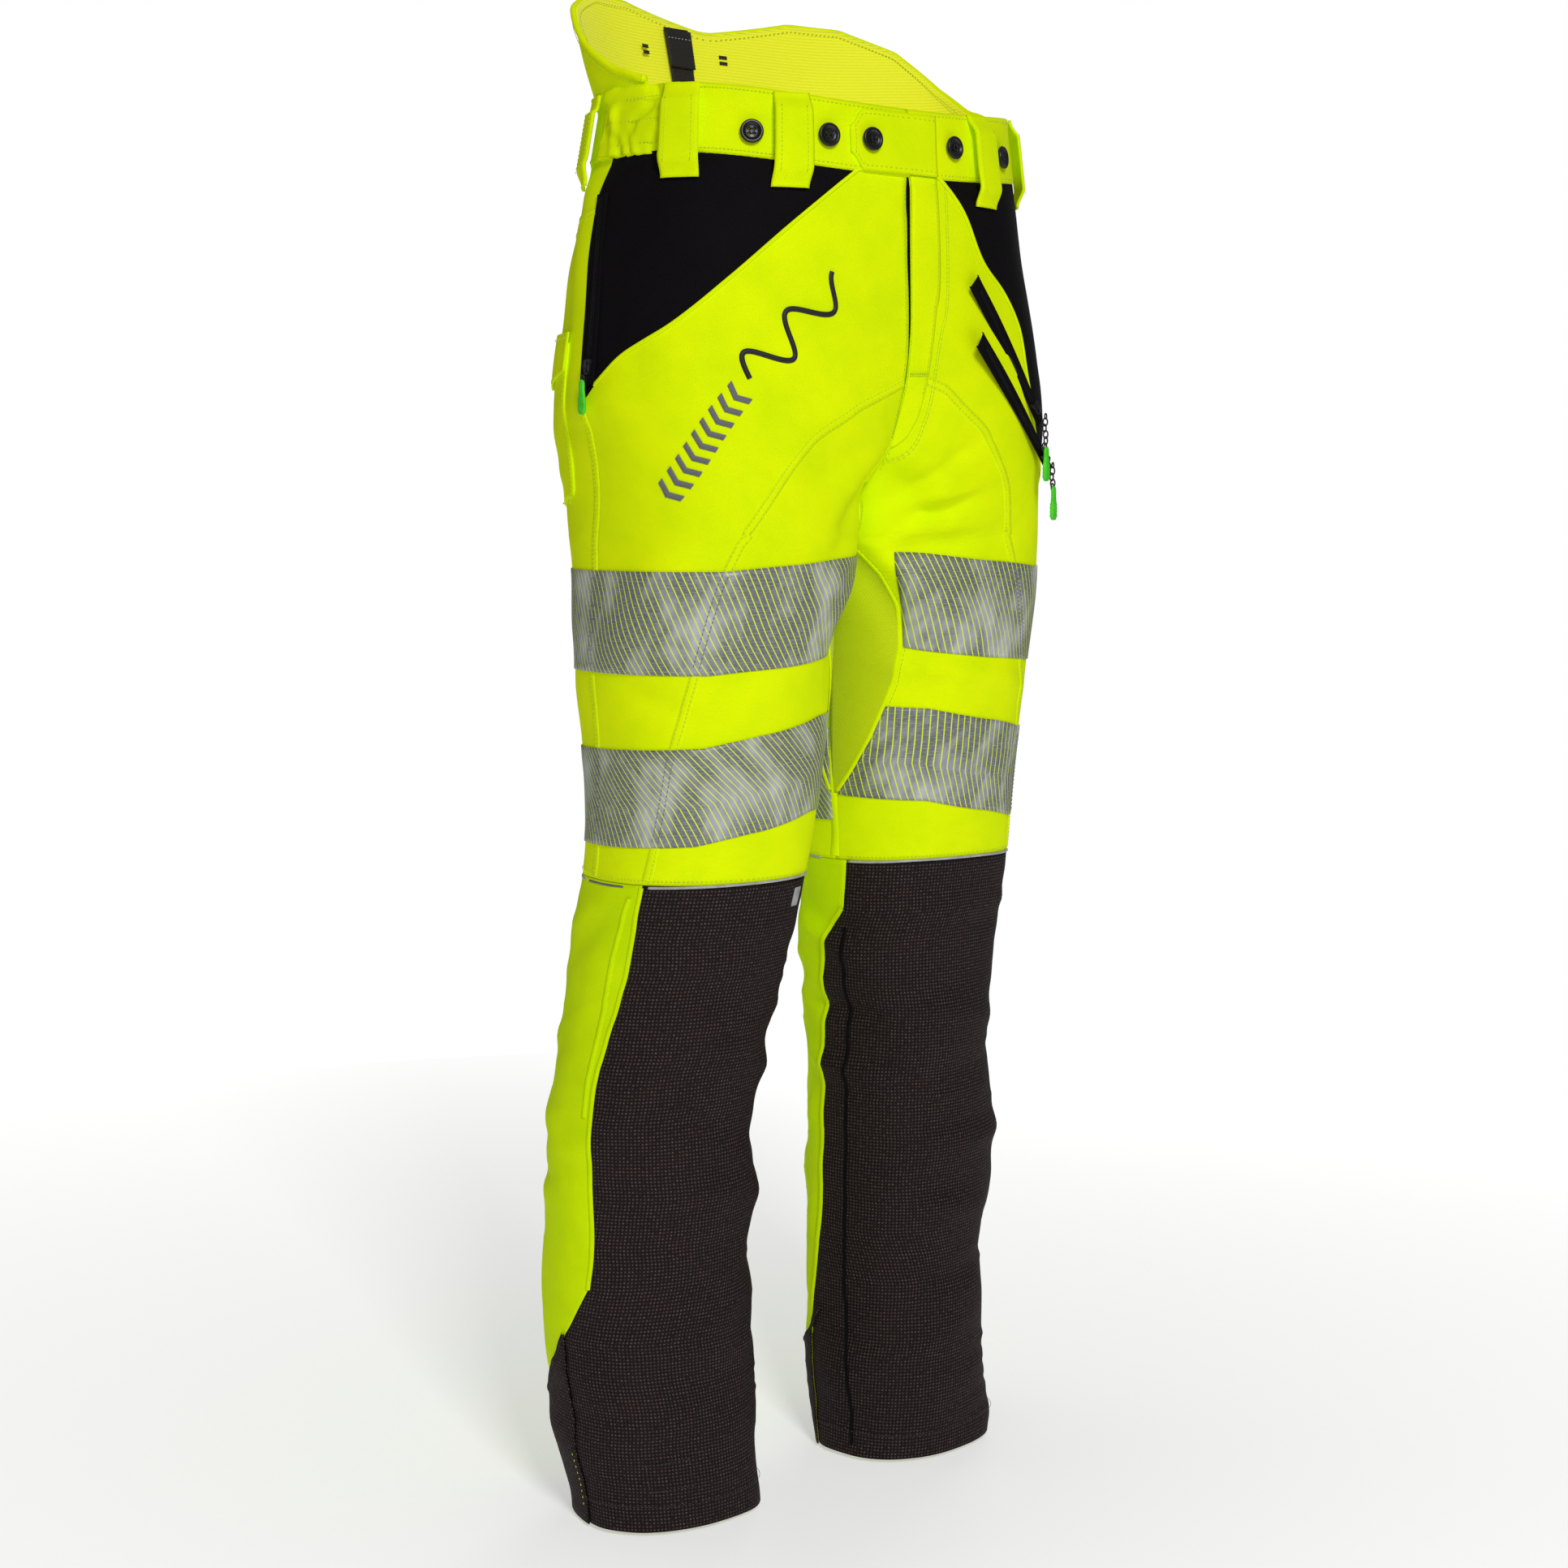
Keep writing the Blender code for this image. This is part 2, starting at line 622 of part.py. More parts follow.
def make_fly():
    """The fly zip lies straight behind the two front edges, with a shield of cloth inside it."""
    top, bottom = -0.060, -0.200
    a, b = surface(0.0, top), surface(0.0, bottom)
    run = (b - a).normalized()
    out = Vector((0, -1, 0))
    out = (out - run * out.dot(run)).normalized()
    spin = Matrix((run, out.cross(run), out)).transposed().to_4x4()
    width, deep, tall = SLIDER_SIZE
    face = -CLOTH - 0.0006
    middle = Matrix.Translation((a + b) / 2.0) @ spin
    tape_face = face - deep - LAYER_GAP
    box("fly_zip", ((b - a).length, 0.026, TAPE_THICK),
        middle @ Matrix.Translation((0, 0, tape_face - TAPE_THICK / 2.0)), "zip_coil", bevel=0.0003)
    slider = Matrix.Translation(a) @ spin @ Matrix.Translation((tall / 2.0 + 0.002, 0, face - deep / 2.0))
    box("fly_slider", (tall, width, deep), slider, "zip_metal")
    behind = tape_face - TAPE_THICK - LAYER_GAP - CLOTH / 2.0
    box("fly_shield", ((b - a).length, 0.040, CLOTH),
        middle @ Matrix.Translation((0, 0, behind)), "hi_vis_yellow", bevel=0.0003)


clear_scene()
PARTS = collection(NAME)
CUTTERS = collection(NAME + "_cutters")
make_waist()
make_hips()
make_legs()
make_belt_loops()
make_buttons()
make_fly()
make_zips()
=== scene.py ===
"""Looks of the hi-vis chainsaw trousers: cloth, tapes, seams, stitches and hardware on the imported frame.

Metres, +Z up. Places on the garment are (w, z) as in the CAD: w runs once round the body, 0 at the centre
front, 0.5 at the wearer's right side, 1 at the centre back. Below the crotch it runs once round the right
leg from the inseam. Pieces of the left side are made in the same places and reflected.
"""
import json
import math
import bpy
import bmesh
import numpy as np
from mathutils import Matrix, Vector


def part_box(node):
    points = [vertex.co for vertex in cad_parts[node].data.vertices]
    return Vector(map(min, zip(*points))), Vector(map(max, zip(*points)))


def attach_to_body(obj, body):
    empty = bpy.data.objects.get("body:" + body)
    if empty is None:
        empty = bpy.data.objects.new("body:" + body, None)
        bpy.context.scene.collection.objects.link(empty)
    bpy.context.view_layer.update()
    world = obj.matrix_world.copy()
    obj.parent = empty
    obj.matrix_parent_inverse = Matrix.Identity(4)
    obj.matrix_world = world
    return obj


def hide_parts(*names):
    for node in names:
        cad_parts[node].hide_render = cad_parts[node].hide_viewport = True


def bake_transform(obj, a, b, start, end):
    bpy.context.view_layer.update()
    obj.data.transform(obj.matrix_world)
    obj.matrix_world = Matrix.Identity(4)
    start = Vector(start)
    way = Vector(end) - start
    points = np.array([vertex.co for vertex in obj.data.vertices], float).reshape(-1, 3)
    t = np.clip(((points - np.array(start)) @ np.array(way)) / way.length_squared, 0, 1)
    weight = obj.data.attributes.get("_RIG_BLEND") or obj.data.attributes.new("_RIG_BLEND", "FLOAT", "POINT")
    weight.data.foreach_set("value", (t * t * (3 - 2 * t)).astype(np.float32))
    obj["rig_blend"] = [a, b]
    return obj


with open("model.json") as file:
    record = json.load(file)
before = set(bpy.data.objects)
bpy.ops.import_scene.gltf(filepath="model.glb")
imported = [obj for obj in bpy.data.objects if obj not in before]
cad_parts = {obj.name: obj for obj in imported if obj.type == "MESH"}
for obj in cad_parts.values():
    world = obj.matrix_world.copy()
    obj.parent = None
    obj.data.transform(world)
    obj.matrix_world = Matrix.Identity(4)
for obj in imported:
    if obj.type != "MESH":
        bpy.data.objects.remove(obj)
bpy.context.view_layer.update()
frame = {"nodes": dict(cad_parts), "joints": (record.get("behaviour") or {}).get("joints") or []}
SCENE = bpy.context.scene
SCENE.view_settings.view_transform = "Standard"

# ---------------------------------------------------------------- levels and form, as in the CAD
HEM_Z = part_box("right_shin_front")[0].z
SPLIT_Z = -0.336
KNEE_SEAM_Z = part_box("right_shin_front")[1].z
THIGH_HEM_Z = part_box("right_thigh_front")[0].z
SIDE_SEAM = 0.508
WAIST_RISE = 0.012
BAND_DEPTH = 0.052
ROUNDNESS = 2.3
BACK_FLARE = 0.28
# z, then middle of the leg to the side, middle forward, half width, depth before and behind it, toe-out degrees
FORM = np.array((
    (0.000, 0.000, 0.000, 0.178, 0.118, 0.120, 0.0),
    (-0.060, 0.000, 0.002, 0.188, 0.124, 0.128, 0.0),
    (-0.140, 0.024, 0.004, 0.180, 0.127, 0.137, 0.0),
    (-0.220, 0.064, 0.004, 0.148, 0.127, 0.137, 0.0),
    (-0.290, 0.094, 0.002, 0.109, 0.118, 0.122, 0.0),
    (-0.335, 0.103, 0.001, 0.101, 0.110, 0.112, 2.0),
    (-0.400, 0.106, 0.000, 0.097, 0.102, 0.104, 5.0),
    (-0.560, 0.110, 0.004, 0.087, 0.082, 0.084, 8.0),
    (-0.680, 0.122, 0.024, 0.083, 0.076, 0.078, 10.0),
    (-0.820, 0.136, 0.042, 0.083, 0.074, 0.076, 12.0),
    (-0.960, 0.137, 0.042, 0.081, 0.072, 0.074, 12.0),
    (-1.115, 0.130, 0.030, 0.077, 0.070, 0.070, 12.0),
))
HIGH_BACK_EDGE = ((0.46, 0.019), (0.52, 0.030), (0.60, 0.052), (0.70, 0.086), (0.80, 0.104),
                  (0.88, 0.106), (1.00, 0.090))
STRAP_W = 0.958
ROUND = 0.50                    # metres round the garment for one step of w, near enough for folds
UP = Vector((0.0, 0.0, 1.0))
SIDE = {False: "right", True: "left"}
MIRROR = {False: np.ones(3), True: np.array((-1.0, 1.0, 1.0))}


def smooth(low, high, value):
    t = np.clip((value - low) / (high - low), 0.0, 1.0)
    return t * t * (3.0 - 2.0 * t)


def line(points, value):
    """Straight-line reading of (place, value) pairs, whichever way the places run."""
    pairs = np.array(sorted(points))
    return np.interp(value, pairs[:, 0], pairs[:, 1])


def hermite(t, step, low, high, slope_low, slope_high):
    """The cubic from low to high at fractions t of a step, with the given slopes at its ends."""
    return (low * (2 * t ** 3 - 3 * t ** 2 + 1) + high * (3 * t ** 2 - 2 * t ** 3)
            + slope_low * step * (t ** 3 - 2 * t ** 2 + t) + slope_high * step * (t ** 3 - t ** 2))


def form_values(z):
    """The six columns of FORM at the heights z, on smooth curves."""
    heights = FORM[:, 0]
    low = np.clip(np.arange(len(FORM)) - 1, 0, len(FORM) - 1)
    high = np.clip(np.arange(len(FORM)) + 1, 0, len(FORM) - 1)
    slopes = (FORM[high] - FORM[low]) / (heights[high] - heights[low])[:, None]
    z = np.clip(z, heights[-1], heights[0])
    k = np.clip(np.searchsorted(-heights, -z, side="right") - 1, 0, len(FORM) - 2)
    step = heights[k + 1] - heights[k]
    t = (z - heights[k]) / step
    return [hermite(t, step, FORM[k, c], FORM[k + 1, c], slopes[k, c], slopes[k + 1, c]) for c in range(1, 7)]


def surface(w, z):
    """Points on the plain form, right side, as an array (..., 3)."""
    w, z = np.broadcast_arrays(np.asarray(w, float), np.asarray(z, float))
    w = np.where(z < SPLIT_Z, w % 1.0, w % 2.0)
    right = w <= 1.0
    u = np.where(right, w, 2.0 - w)
    out, mid_y, half, front, back, toe = form_values(z)
    start = np.arccos(np.clip(out / half, 0.0, 1.0) ** (ROUNDNESS / 2.0))
    angle = start + u * (2.0 * math.pi - 2.0 * start)
    power = 2.0 / ROUNDNESS
    c, s = np.cos(angle), np.sin(angle)
    x = half * np.sign(c) * np.abs(c) ** power
    y = -np.where(s > 0.0, front, back) * np.sign(s) * np.abs(s) ** power
    turn = np.radians(toe)
    px = -out + x * np.cos(turn) + y * np.sin(turn)
    py = mid_y + y * np.cos(turn) - x * np.sin(turn)
    flare = 1.0 + np.where(z > 0.0, BACK_FLARE * z * smooth(0.3, 0.6, u) / half, 0.0)
    return np.stack((np.where(right, px, -px) * flare, py * flare, z), -1)


def first_angle(z):
    """Angle round the leg at which the front centre line lies, at the heights z."""
    out, _, half = form_values(z)[:3]
    return np.where(z < SPLIT_Z, 0.0, np.arccos(np.clip(out / half, 0.0, 1.0) ** (ROUNDNESS / 2.0)))


def round_path(path, count=60):
    """The downward (w, z) path redrawn evenly by angle, so that it runs on smoothly where the legs part."""
    w, z = np.array(path).T
    first = first_angle(z)
    angle = first + w * 2.0 * (math.pi - first)
    fine = np.linspace(z[0], z[-1], count)
    angle = np.interp(-fine, -z, angle)
    first = first_angle(fine)
    return list(zip((angle - first) / (2.0 * (math.pi - first)), fine))


def unit(v):
    return v / np.maximum(np.linalg.norm(v, axis=-1, keepdims=True), 1e-12)


def facing_out(place, w, z, step=0.002):
    """Outward directions of the surface that place(w, z) gives."""
    across = place(w + step, z) - place(w - step, z)
    down = place(w, z - step) - place(w, z + step)
    return unit(np.cross(across, down))


# ---------------------------------------------------------------- folds and wrinkles
def hashed(i, j, seed):
    """A fixed value from 0 to 1 for each cell."""
    value = np.sin(i * 127.1 + j * 311.7 + seed * 74.7) * 43758.5453
    return value - np.floor(value)


def noise(x, y, seed, period=None):
    """Smooth value noise from -1 to 1; period makes it repeat in x after that many cells."""
    i, j = np.floor(x), np.floor(y)
    fx, fy = x - i, y - j
    fx, fy = fx ** 3 * (fx * (fx * 6 - 15) + 10), fy ** 3 * (fy * (fy * 6 - 15) + 10)
    wrap = (lambda k: k % period) if period else (lambda k: k)
    a, b = hashed(wrap(i), j, seed), hashed(wrap(i + 1), j, seed)
    c, d = hashed(wrap(i), j + 1, seed), hashed(wrap(i + 1), j + 1, seed)
    return 2.0 * ((a + (b - a) * fx) * (1 - fy) + (c + (d - c) * fx) * fy) - 1.0


def stroke(u, z, start, end, width, height, bend=0.0):
    """One soft fold from start to end in (u, z), dying out at both ends."""
    x, x0, x1 = u * ROUND, start[0] * ROUND, end[0] * ROUND
    dx, dz = x1 - x0, end[1] - start[1]
    length = math.hypot(dx, dz)
    t = ((x - x0) * dx + (z - start[1]) * dz) / length ** 2
    off = ((z - start[1]) * dx - (x - x0) * dz) / length
    off = off - bend * np.sin(math.pi * np.clip(t, 0.0, 1.0))
    fade = smooth(-0.15, 0.35, t) * smooth(1.15, 0.65, t)
    return height * np.exp(-(off / width) ** 2) * fade


# start and end in (u, z), half width, height, sideways bend; "both" is for both sides
FOLDS = {
    "both": (
        ((0.00, -0.255), (0.16, -0.300), 0.012, 0.0030, 0.004),
        ((0.00, -0.275), (0.20, -0.345), 0.010, -0.0030, 0.006),
        ((0.01, -0.300), (0.15, -0.385), 0.011, 0.0035, 0.008),
        ((0.03, -0.330), (0.13, -0.440), 0.012, -0.0030, 0.006),
        ((1.00, -0.255), (0.82, -0.310), 0.014, 0.0045, -0.006),
        ((1.00, -0.290), (0.84, -0.370), 0.013, -0.0040, -0.008),
        ((0.97, -0.320), (0.86, -0.440), 0.014, 0.0040, -0.006),
        ((0.93, -0.210), (0.66, -0.330), 0.018, 0.0035, 0.010),
        ((0.90, -0.330), (0.66, -0.400), 0.014, 0.0032, 0.0),
        ((0.62, -0.420), (0.90, -0.470), 0.014, -0.0030, 0.006),
        ((0.60, -0.500), (0.88, -0.540), 0.014, 0.0030, 0.004),
        ((0.44, -0.600), (0.58, -0.690), 0.010, -0.0040, 0.0),
        ((0.46, -0.610), (0.66, -0.670), 0.010, 0.0042, 0.004),
        ((0.56, -0.640), (0.86, -0.650), 0.011, -0.0050, 0.008),
        ((0.52, -0.668), (0.90, -0.684), 0.010, 0.0048, -0.006),
        ((0.55, -0.700), (0.92, -0.706), 0.011, -0.0050, 0.006),
        ((0.50, -0.728), (0.84, -0.745), 0.012, 0.0040, 0.004),
        ((0.47, -0.640), (0.50, -0.860), 0.014, 0.0035, 0.006),
        ((0.72, -0.760), (0.62, -0.990), 0.020, 0.0040, 0.006),
        ((0.84, -0.760), (0.90, -0.960), 0.018, -0.0040, 0.006),
    ),
    "right": (
        ((0.06, -0.345), (0.30, -0.470), 0.020, 0.0022, 0.010),
        ((0.36, -0.300), (0.50, -0.440), 0.020, 0.0022, 0.0),
        ((0.50, -0.430), (0.30, -0.478), 0.010, -0.0020, 0.0),
        ((0.95, -0.720), (1.12, -0.770), 0.013, 0.0030, 0.0),
        ((0.92, -0.790), (1.10, -0.812), 0.014, -0.0035, 0.0),
        ((0.94, -0.835), (1.12, -0.868), 0.014, 0.0030, 0.0),
        ((0.10, -0.640), (0.33, -0.625), 0.010, 0.0022, 0.0),
        ((0.02, -0.760), (0.26, -0.735), 0.012, 0.0034, 0.004),
        ((0.06, -0.815), (0.34, -0.775), 0.010, -0.0030, 0.004),
        ((0.00, -0.862), (0.30, -0.842), 0.012, 0.0032, 0.004),
        ((0.12, -0.900), (0.36, -0.872), 0.010, -0.0026, 0.0),
        ((0.02, -0.930), (0.24, -0.955), 0.011, 0.0030, 0.0),
        ((0.10, -0.985), (0.38, -0.962), 0.012, 0.0028, 0.004),
        ((0.30, -1.015), (0.52, -1.040), 0.012, -0.0028, 0.0),
        ((0.00, -0.900), (0.03, -1.060), 0.045, 0.0050, 0.0),
        ((0.02, -0.262), (0.22, -0.300), 0.011, -0.0026, 0.010),
        ((0.03, -0.300), (0.26, -0.420), 0.012, 0.0026, 0.012),
    ),
    "left": (
        ((0.08, -0.345), (0.28, -0.440), 0.018, 0.0026, 0.010),
        ((0.060, -0.294), (0.150, -0.250), 0.008, -0.0026, 0.0),
        ((0.085, -0.304), (0.200, -0.280), 0.007, 0.0026, 0.0),
        ((0.090, -0.314), (0.190, -0.298), 0.007, -0.0028, 0.0),
        ((0.095, -0.328), (0.230, -0.312), 0.007, 0.0024, 0.0),
        ((0.095, -0.341), (0.260, -0.328), 0.007, -0.0026, 0.0),
        ((0.06, -0.430), (0.34, -0.455), 0.010, 0.0026, 0.006),
        ((0.90, -0.640), (1.08, -0.690), 0.011, 0.0060, 0.0),
        ((0.92, -0.720), (1.10, -0.735), 0.011, -0.0060, 0.0),
        ((0.90, -0.765), (1.12, -0.790), 0.012, 0.0060, 0.0),
        ((0.20, -0.660), (0.44, -0.640), 0.010, -0.0022, 0.0),
        ((0.10, -0.720), (0.40, -0.750), 0.012, 0.0030, 0.004),
        ((0.06, -0.790), (0.30, -0.775), 0.011, -0.0026, 0.0),
        ((0.14, -0.835), (0.42, -0.850), 0.012, 0.0030, 0.0),
        ((0.04, -0.890), (0.32, -0.912), 0.012, 0.0030, 0.004),
        ((0.16, -0.965), (0.44, -0.945), 0.012, -0.0026, 0.0),
        ((0.04, -1.020), (0.30, -1.000), 0.012, 0.0028, 0.0),
    ),
}


def wrinkles(w, z, left):
    """Height of the folds over the plain form, in metres."""
    leg = z < SPLIT_Z
    u = np.where(leg, w % 1.0, w % 2.0)
    u = np.where(u <= 1.0, u, 2.0 - u)
    total = np.zeros(np.broadcast(w, z).shape)
    force = 1.7 - 0.7 * smooth(-0.56, -0.64, z)
    for name in ("both", "left" if left else "right"):
        calm = 1.0 if left or name == "right" else 1.0 - 0.55 * smooth(-0.57, -0.61, z)
        for start, end, width, height, bend in FOLDS[name]:
            total += stroke(u, z, start, end, width, height, bend) * force * calm
            if max(start[0], end[0]) > 1.0 or min(start[0], end[0]) < 0.02 and start[1] < SPLIT_Z:
                total += np.where(leg, stroke(u + 1.0, z, start, end, width, height, bend), 0.0)
    seed = 11 if left else 5
    shin = smooth(-0.59, -0.64, z)
    body = smooth(-0.055, -0.12, z)
    x = u * ROUND
    loose = 0.35 + 0.65 * smooth(0.42, 0.60, u)
    big = noise(u * 5, z / 0.085 + 0.4 * x, seed, 5) * 0.0030 * (1.0 + 0.6 * shin)
    middle = noise(u * 11, z / 0.034 + 2.0 * noise(u * 4, z / 0.11, seed + 3, 4), seed + 1, 11)
    across = noise(u * 6, z / 0.017 + 1.2 * noise(u * 5, z / 0.07, seed + 7, 5), seed + 2, 6)
    ridge = 1.0 - 2.2 * np.abs(across)
    total += body * (big + middle * 0.0012 * (loose + 1.0 * shin))
    total += shin * ridge * 0.0010 * (0.6 + 0.4 * noise(u * 4, z / 0.05, seed + 9, 4))
    hem = smooth(HEM_Z + 0.05, HEM_Z, z)
    total += hem * 0.0022 * np.sin(2.0 * math.pi * (3.0 * u + 0.2 * seed))
    return total * smooth(0.0, -0.05, z)


# ---------------------------------------------------------------- straight zips press the cloth flat
def zip_frame(name):
    """Start, run, outward direction and length of a CAD zip, from its box and its joint."""
    joint = [j for j in frame["joints"] if j["name"] == name + "_zip_run"][0]
    run = Vector(joint["axis"]).normalized()
    co = [v.co.copy() for v in frame["nodes"][name + "_zip"].data.vertices]
    centre = sum(co, Vector()) / len(co)
    reach = max((p - centre).dot(run) for p in co)
    flat = [p - centre - run * (p - centre).dot(run) for p in co]
    side = max(flat, key=lambda p: p.length).normalized()
    tilt = math.atan2(0.0012, 0.014)        # of the flat box's diagonal: its depth over its width
    outs = [run.cross(Matrix.Rotation(a, 3, run) @ side) for a in (tilt, -tilt)]
    out = min(outs, key=lambda o: max(abs(p.dot(o)) for p in flat))
    if out.dot(Vector((centre.x, centre.y, 0.0))) < 0.0:
        out = -out
    deep = max(abs(p.dot(out)) for p in flat)
    return np.array(centre), np.array(run), np.array(out), reach, deep


ZIPS = {name: zip_frame(name) for name in ("pocket", "upper_vent", "lower_vent")}


def pressed(points, normals, left):
    """Extra height that brings the cloth up to the back of each straight zip."""
    extra = np.zeros(points.shape[:-1])
    for name, (centre, run, out, reach, deep) in ZIPS.items():
        if (name == "pocket") == left:
            continue
        p = points * MIRROR[left] - centre
        along = p @ run
        side = np.cross(out, run)
        off = np.abs(p @ side)
        gap = -(p @ out) - deep - 0.0006
        near = smooth(0.050, 0.010, off) * smooth(reach + 0.035, reach + 0.002, np.abs(along))
        facing = np.clip((normals * MIRROR[left]) @ out, 0.3, 1.0)
        extra += near * np.where((p @ out) > -0.05, gap / facing, 0.0)
    return extra


def folded(w, z, left):
    """Points of the draped cloth, on the right."""
    base = surface(w, z)
    out = facing_out(surface, w, z)
    height = wrinkles(w, z, left)
    if np.max(z) > -0.31:
        height = height + pressed(base * MIRROR[left], out * MIRROR[left], left)
    return base + out * height[..., None]


def cloth(w, z, lift=0.0, left=False):
    """Points on the draped cloth at a lift, on the right or reflected to the left, and their outward directions."""
    w, z = np.broadcast_arrays(np.asarray(w, float), np.asarray(z, float))
    drape = lambda a, b: folded(a, b, left)
    out = facing_out(drape, w, z, 0.003)
    points = drape(w, z) + out * np.broadcast_to(lift, w.shape)[..., None]
    return points * MIRROR[left], out * MIRROR[left]


def waist_top(w):
    w = np.asarray(w, float) % 2.0
    return WAIST_RISE * smooth(0.0, 0.4, np.where(w <= 1.0, w, 2.0 - w))


def waist_bottom(w):
    return waist_top(w) - BAND_DEPTH


def back_top(w):
    return line(HIGH_BACK_EDGE, np.where(np.asarray(w) <= 1.0, w, 2.0 - np.asarray(w)))


# ---------------------------------------------------------------- materials
def linear(*srgb):
    """A 0-255 screen colour as linear light."""
    return tuple((c / 255 / 12.92) if c <= 10 else ((c / 255 + 0.055) / 1.055) ** 2.4 for c in srgb) + (1.0,)


class Paint:
    """A small helper that strings nodes together for one material."""

    def __init__(self, name, roughness=0.8, metallic=0.0, sheen=0.0, specular=0.35):
        self.made = bpy.data.materials.new(name)
        self.made.use_nodes = True
        self.tree = self.made.node_tree
        self.shader = self.tree.nodes["Principled BSDF"]
        self.set(self.shader, Roughness=roughness, Metallic=metallic)
        self.shader.inputs["Sheen Weight"].default_value = sheen
        self.shader.inputs["Specular IOR Level"].default_value = specular
        self.height = None

    def set(self, node, **values):
        for key, value in values.items():
            node.inputs[key].default_value = value

    def node(self, kind, **settings):
        made = self.tree.nodes.new("ShaderNode" + kind)
        for key, value in settings.items():
            setattr(made, key, value)
        return made

    def link(self, source, target):
        self.tree.links.new(source, target)

    def place(self, turn=0.0, stretch=(1.0, 1.0, 1.0), solid=False):
        """Coordinates in metres: on the cloth, or in the object's space for hard pieces."""
        if solid:
            source = self.node("TexCoord").outputs["Object"]
        else:
            source = self.node("UVMap", uv_map="cloth").outputs["UV"]
        move = self.node("Mapping")
        move.inputs["Rotation"].default_value = (0.0, 0.0, turn)
        move.inputs["Scale"].default_value = stretch
        self.link(source, move.inputs["Vector"])
        return move.outputs["Vector"]

    def waves(self, pitch, turn=0.0, axis="X", wobble=0.0, solid=False, saw=False):
        """Stripes pitch metres apart, 0 to 1."""
        made = self.node("TexWave", wave_type="BANDS", bands_direction=axis,
                         wave_profile="SAW" if saw else "SIN")
        self.set(made, Scale=2.0 * math.pi / (20.0 * pitch), Distortion=wobble, Detail=1.0)
        made.inputs["Detail Scale"].default_value = 0.6
        self.link(self.place(turn, solid=solid), made.inputs["Vector"])
        return made.outputs["Fac"]

    def speckle(self, size, detail=2.0, stretch=(1.0, 1.0, 1.0), solid=False):
        made = self.node("TexNoise")
        self.set(made, Scale=1.0 / size, Detail=detail, Roughness=0.6)
        self.link(self.place(0.0, stretch, solid), made.inputs["Vector"])
        return made.outputs["Fac"]

    def math(self, what, a, b=None, clamp=False):
        made = self.node("Math", operation=what, use_clamp=clamp)
        for k, item in enumerate((a, b)):
            if item is None:
                continue
            if isinstance(item, (int, float)):
                made.inputs[k].default_value = item
            else:
                self.link(item, made.inputs[k])
        return made.outputs["Value"]

    def between(self, value, low, high, to_low=0.0, to_high=1.0):
        made = self.node("MapRange")
        self.link(value, made.inputs["Value"])
        for key, number in (("From Min", low), ("From Max", high), ("To Min", to_low), ("To Max", to_high)):
            made.inputs[key].default_value = number
        return made.outputs["Result"]

    def mix(self, how_much, a, b):
        made = self.node("Mix", data_type="RGBA")
        for socket, item in ((0, how_much), (6, a), (7, b)):
            if isinstance(item, (int, float, tuple)):
                made.inputs[socket].default_value = item
            else:
                self.link(item, made.inputs[socket])
        return made.outputs[2]

    def colour(self, source):
        self.link(source, self.shader.inputs["Base Color"])

    def roughness(self, source, low, high):
        self.link(self.between(source, 0.0, 1.0, low, high), self.shader.inputs["Roughness"])

    def bump(self, source, depth, strength=1.0):
        made = self.node("Bump")
        made.inputs["Distance"].default_value = depth
        made.inputs["Strength"].default_value = strength
        self.link(source, made.inputs["Height"])
        if self.height is not None:
            self.link(self.height, made.inputs["Normal"])
        self.height = made.outputs["Normal"]
        self.link(self.height, self.shader.inputs["Normal"])

    # Painted light: an emission that makes the surface glow though it is no lamp.
    def painted_glow(self, colour, strength):
        self.shader.inputs["Emission Color"].default_value = colour
        self.shader.inputs["Emission Strength"].default_value = strength


def hi_vis(name="hi_vis_twill", lit=(228, 252, 0), deep=(204, 238, 0), painted_glow=0.07):
    """Fluorescent twill: fine diagonal weave, a faint stretch grid, soft mottling, and a painted glow that adds
    light to it.
    """
    p = Paint(name, specular=0.06)
    twill = p.waves(0.0011, turn=math.radians(58))
    grid = p.math("MAXIMUM", p.waves(0.0052, axis="X"), p.waves(0.0052, axis="Y"))
    mottle = p.speckle(0.060, 3.0)
    fine = p.speckle(0.0016, 2.0)
    tone = p.math("ADD", p.between(mottle, 0.3, 0.7, -0.15, 0.75), p.between(twill, 0.0, 1.0, 0.0, 0.18), True)
    base = p.mix(tone, linear(*lit), linear(*deep))
    base = p.mix(p.between(fine, 0.35, 0.8, 0.0, 0.16), base, linear(240, 255, 0))
    p.colour(base)
    p.roughness(fine, 0.78, 0.95)
    p.bump(twill, 0.00010, 0.5)
    p.bump(p.between(grid, 0.92, 1.0), 0.00005, 0.4)
    p.bump(fine, 0.00012, 0.5)
    # painted glow: the yellow cloth adds light of its own
    p.painted_glow(linear(235, 235, 0), painted_glow)
    return p.made


def charcoal_canvas():
    """Coarse abrasion-proof canvas: a 3 mm basket of dark yarns with paler, broken highlights."""
    p = Paint("charcoal_canvas", specular=0.12)
    warp = p.waves(0.0030, axis="X", wobble=0.35)
    weft = p.waves(0.0028, axis="Y", wobble=0.35)
    yarn = p.math("MULTIPLY", warp, weft)
    broken = p.speckle(0.0024, 2.0)
    slub = p.speckle(0.0060, 2.0, (1.0, 3.5, 1.0))
    fleck = p.math("MULTIPLY", p.between(yarn, 0.18, 0.95), p.between(broken, 0.32, 0.60))
    fleck = p.math("MULTIPLY", fleck, p.between(slub, 0.30, 0.62, 0.35, 1.0), True)
    base = p.mix(p.speckle(0.05, 3.0), linear(23, 17, 17), linear(32, 24, 24))
    base = p.mix(fleck, base, linear(108, 90, 88))
    p.colour(base)
    p.roughness(broken, 0.66, 0.92)
    p.bump(p.math("MAXIMUM", warp, weft), 0.00035, 0.7)
    p.bump(broken, 0.00030, 0.6)
    return p.made


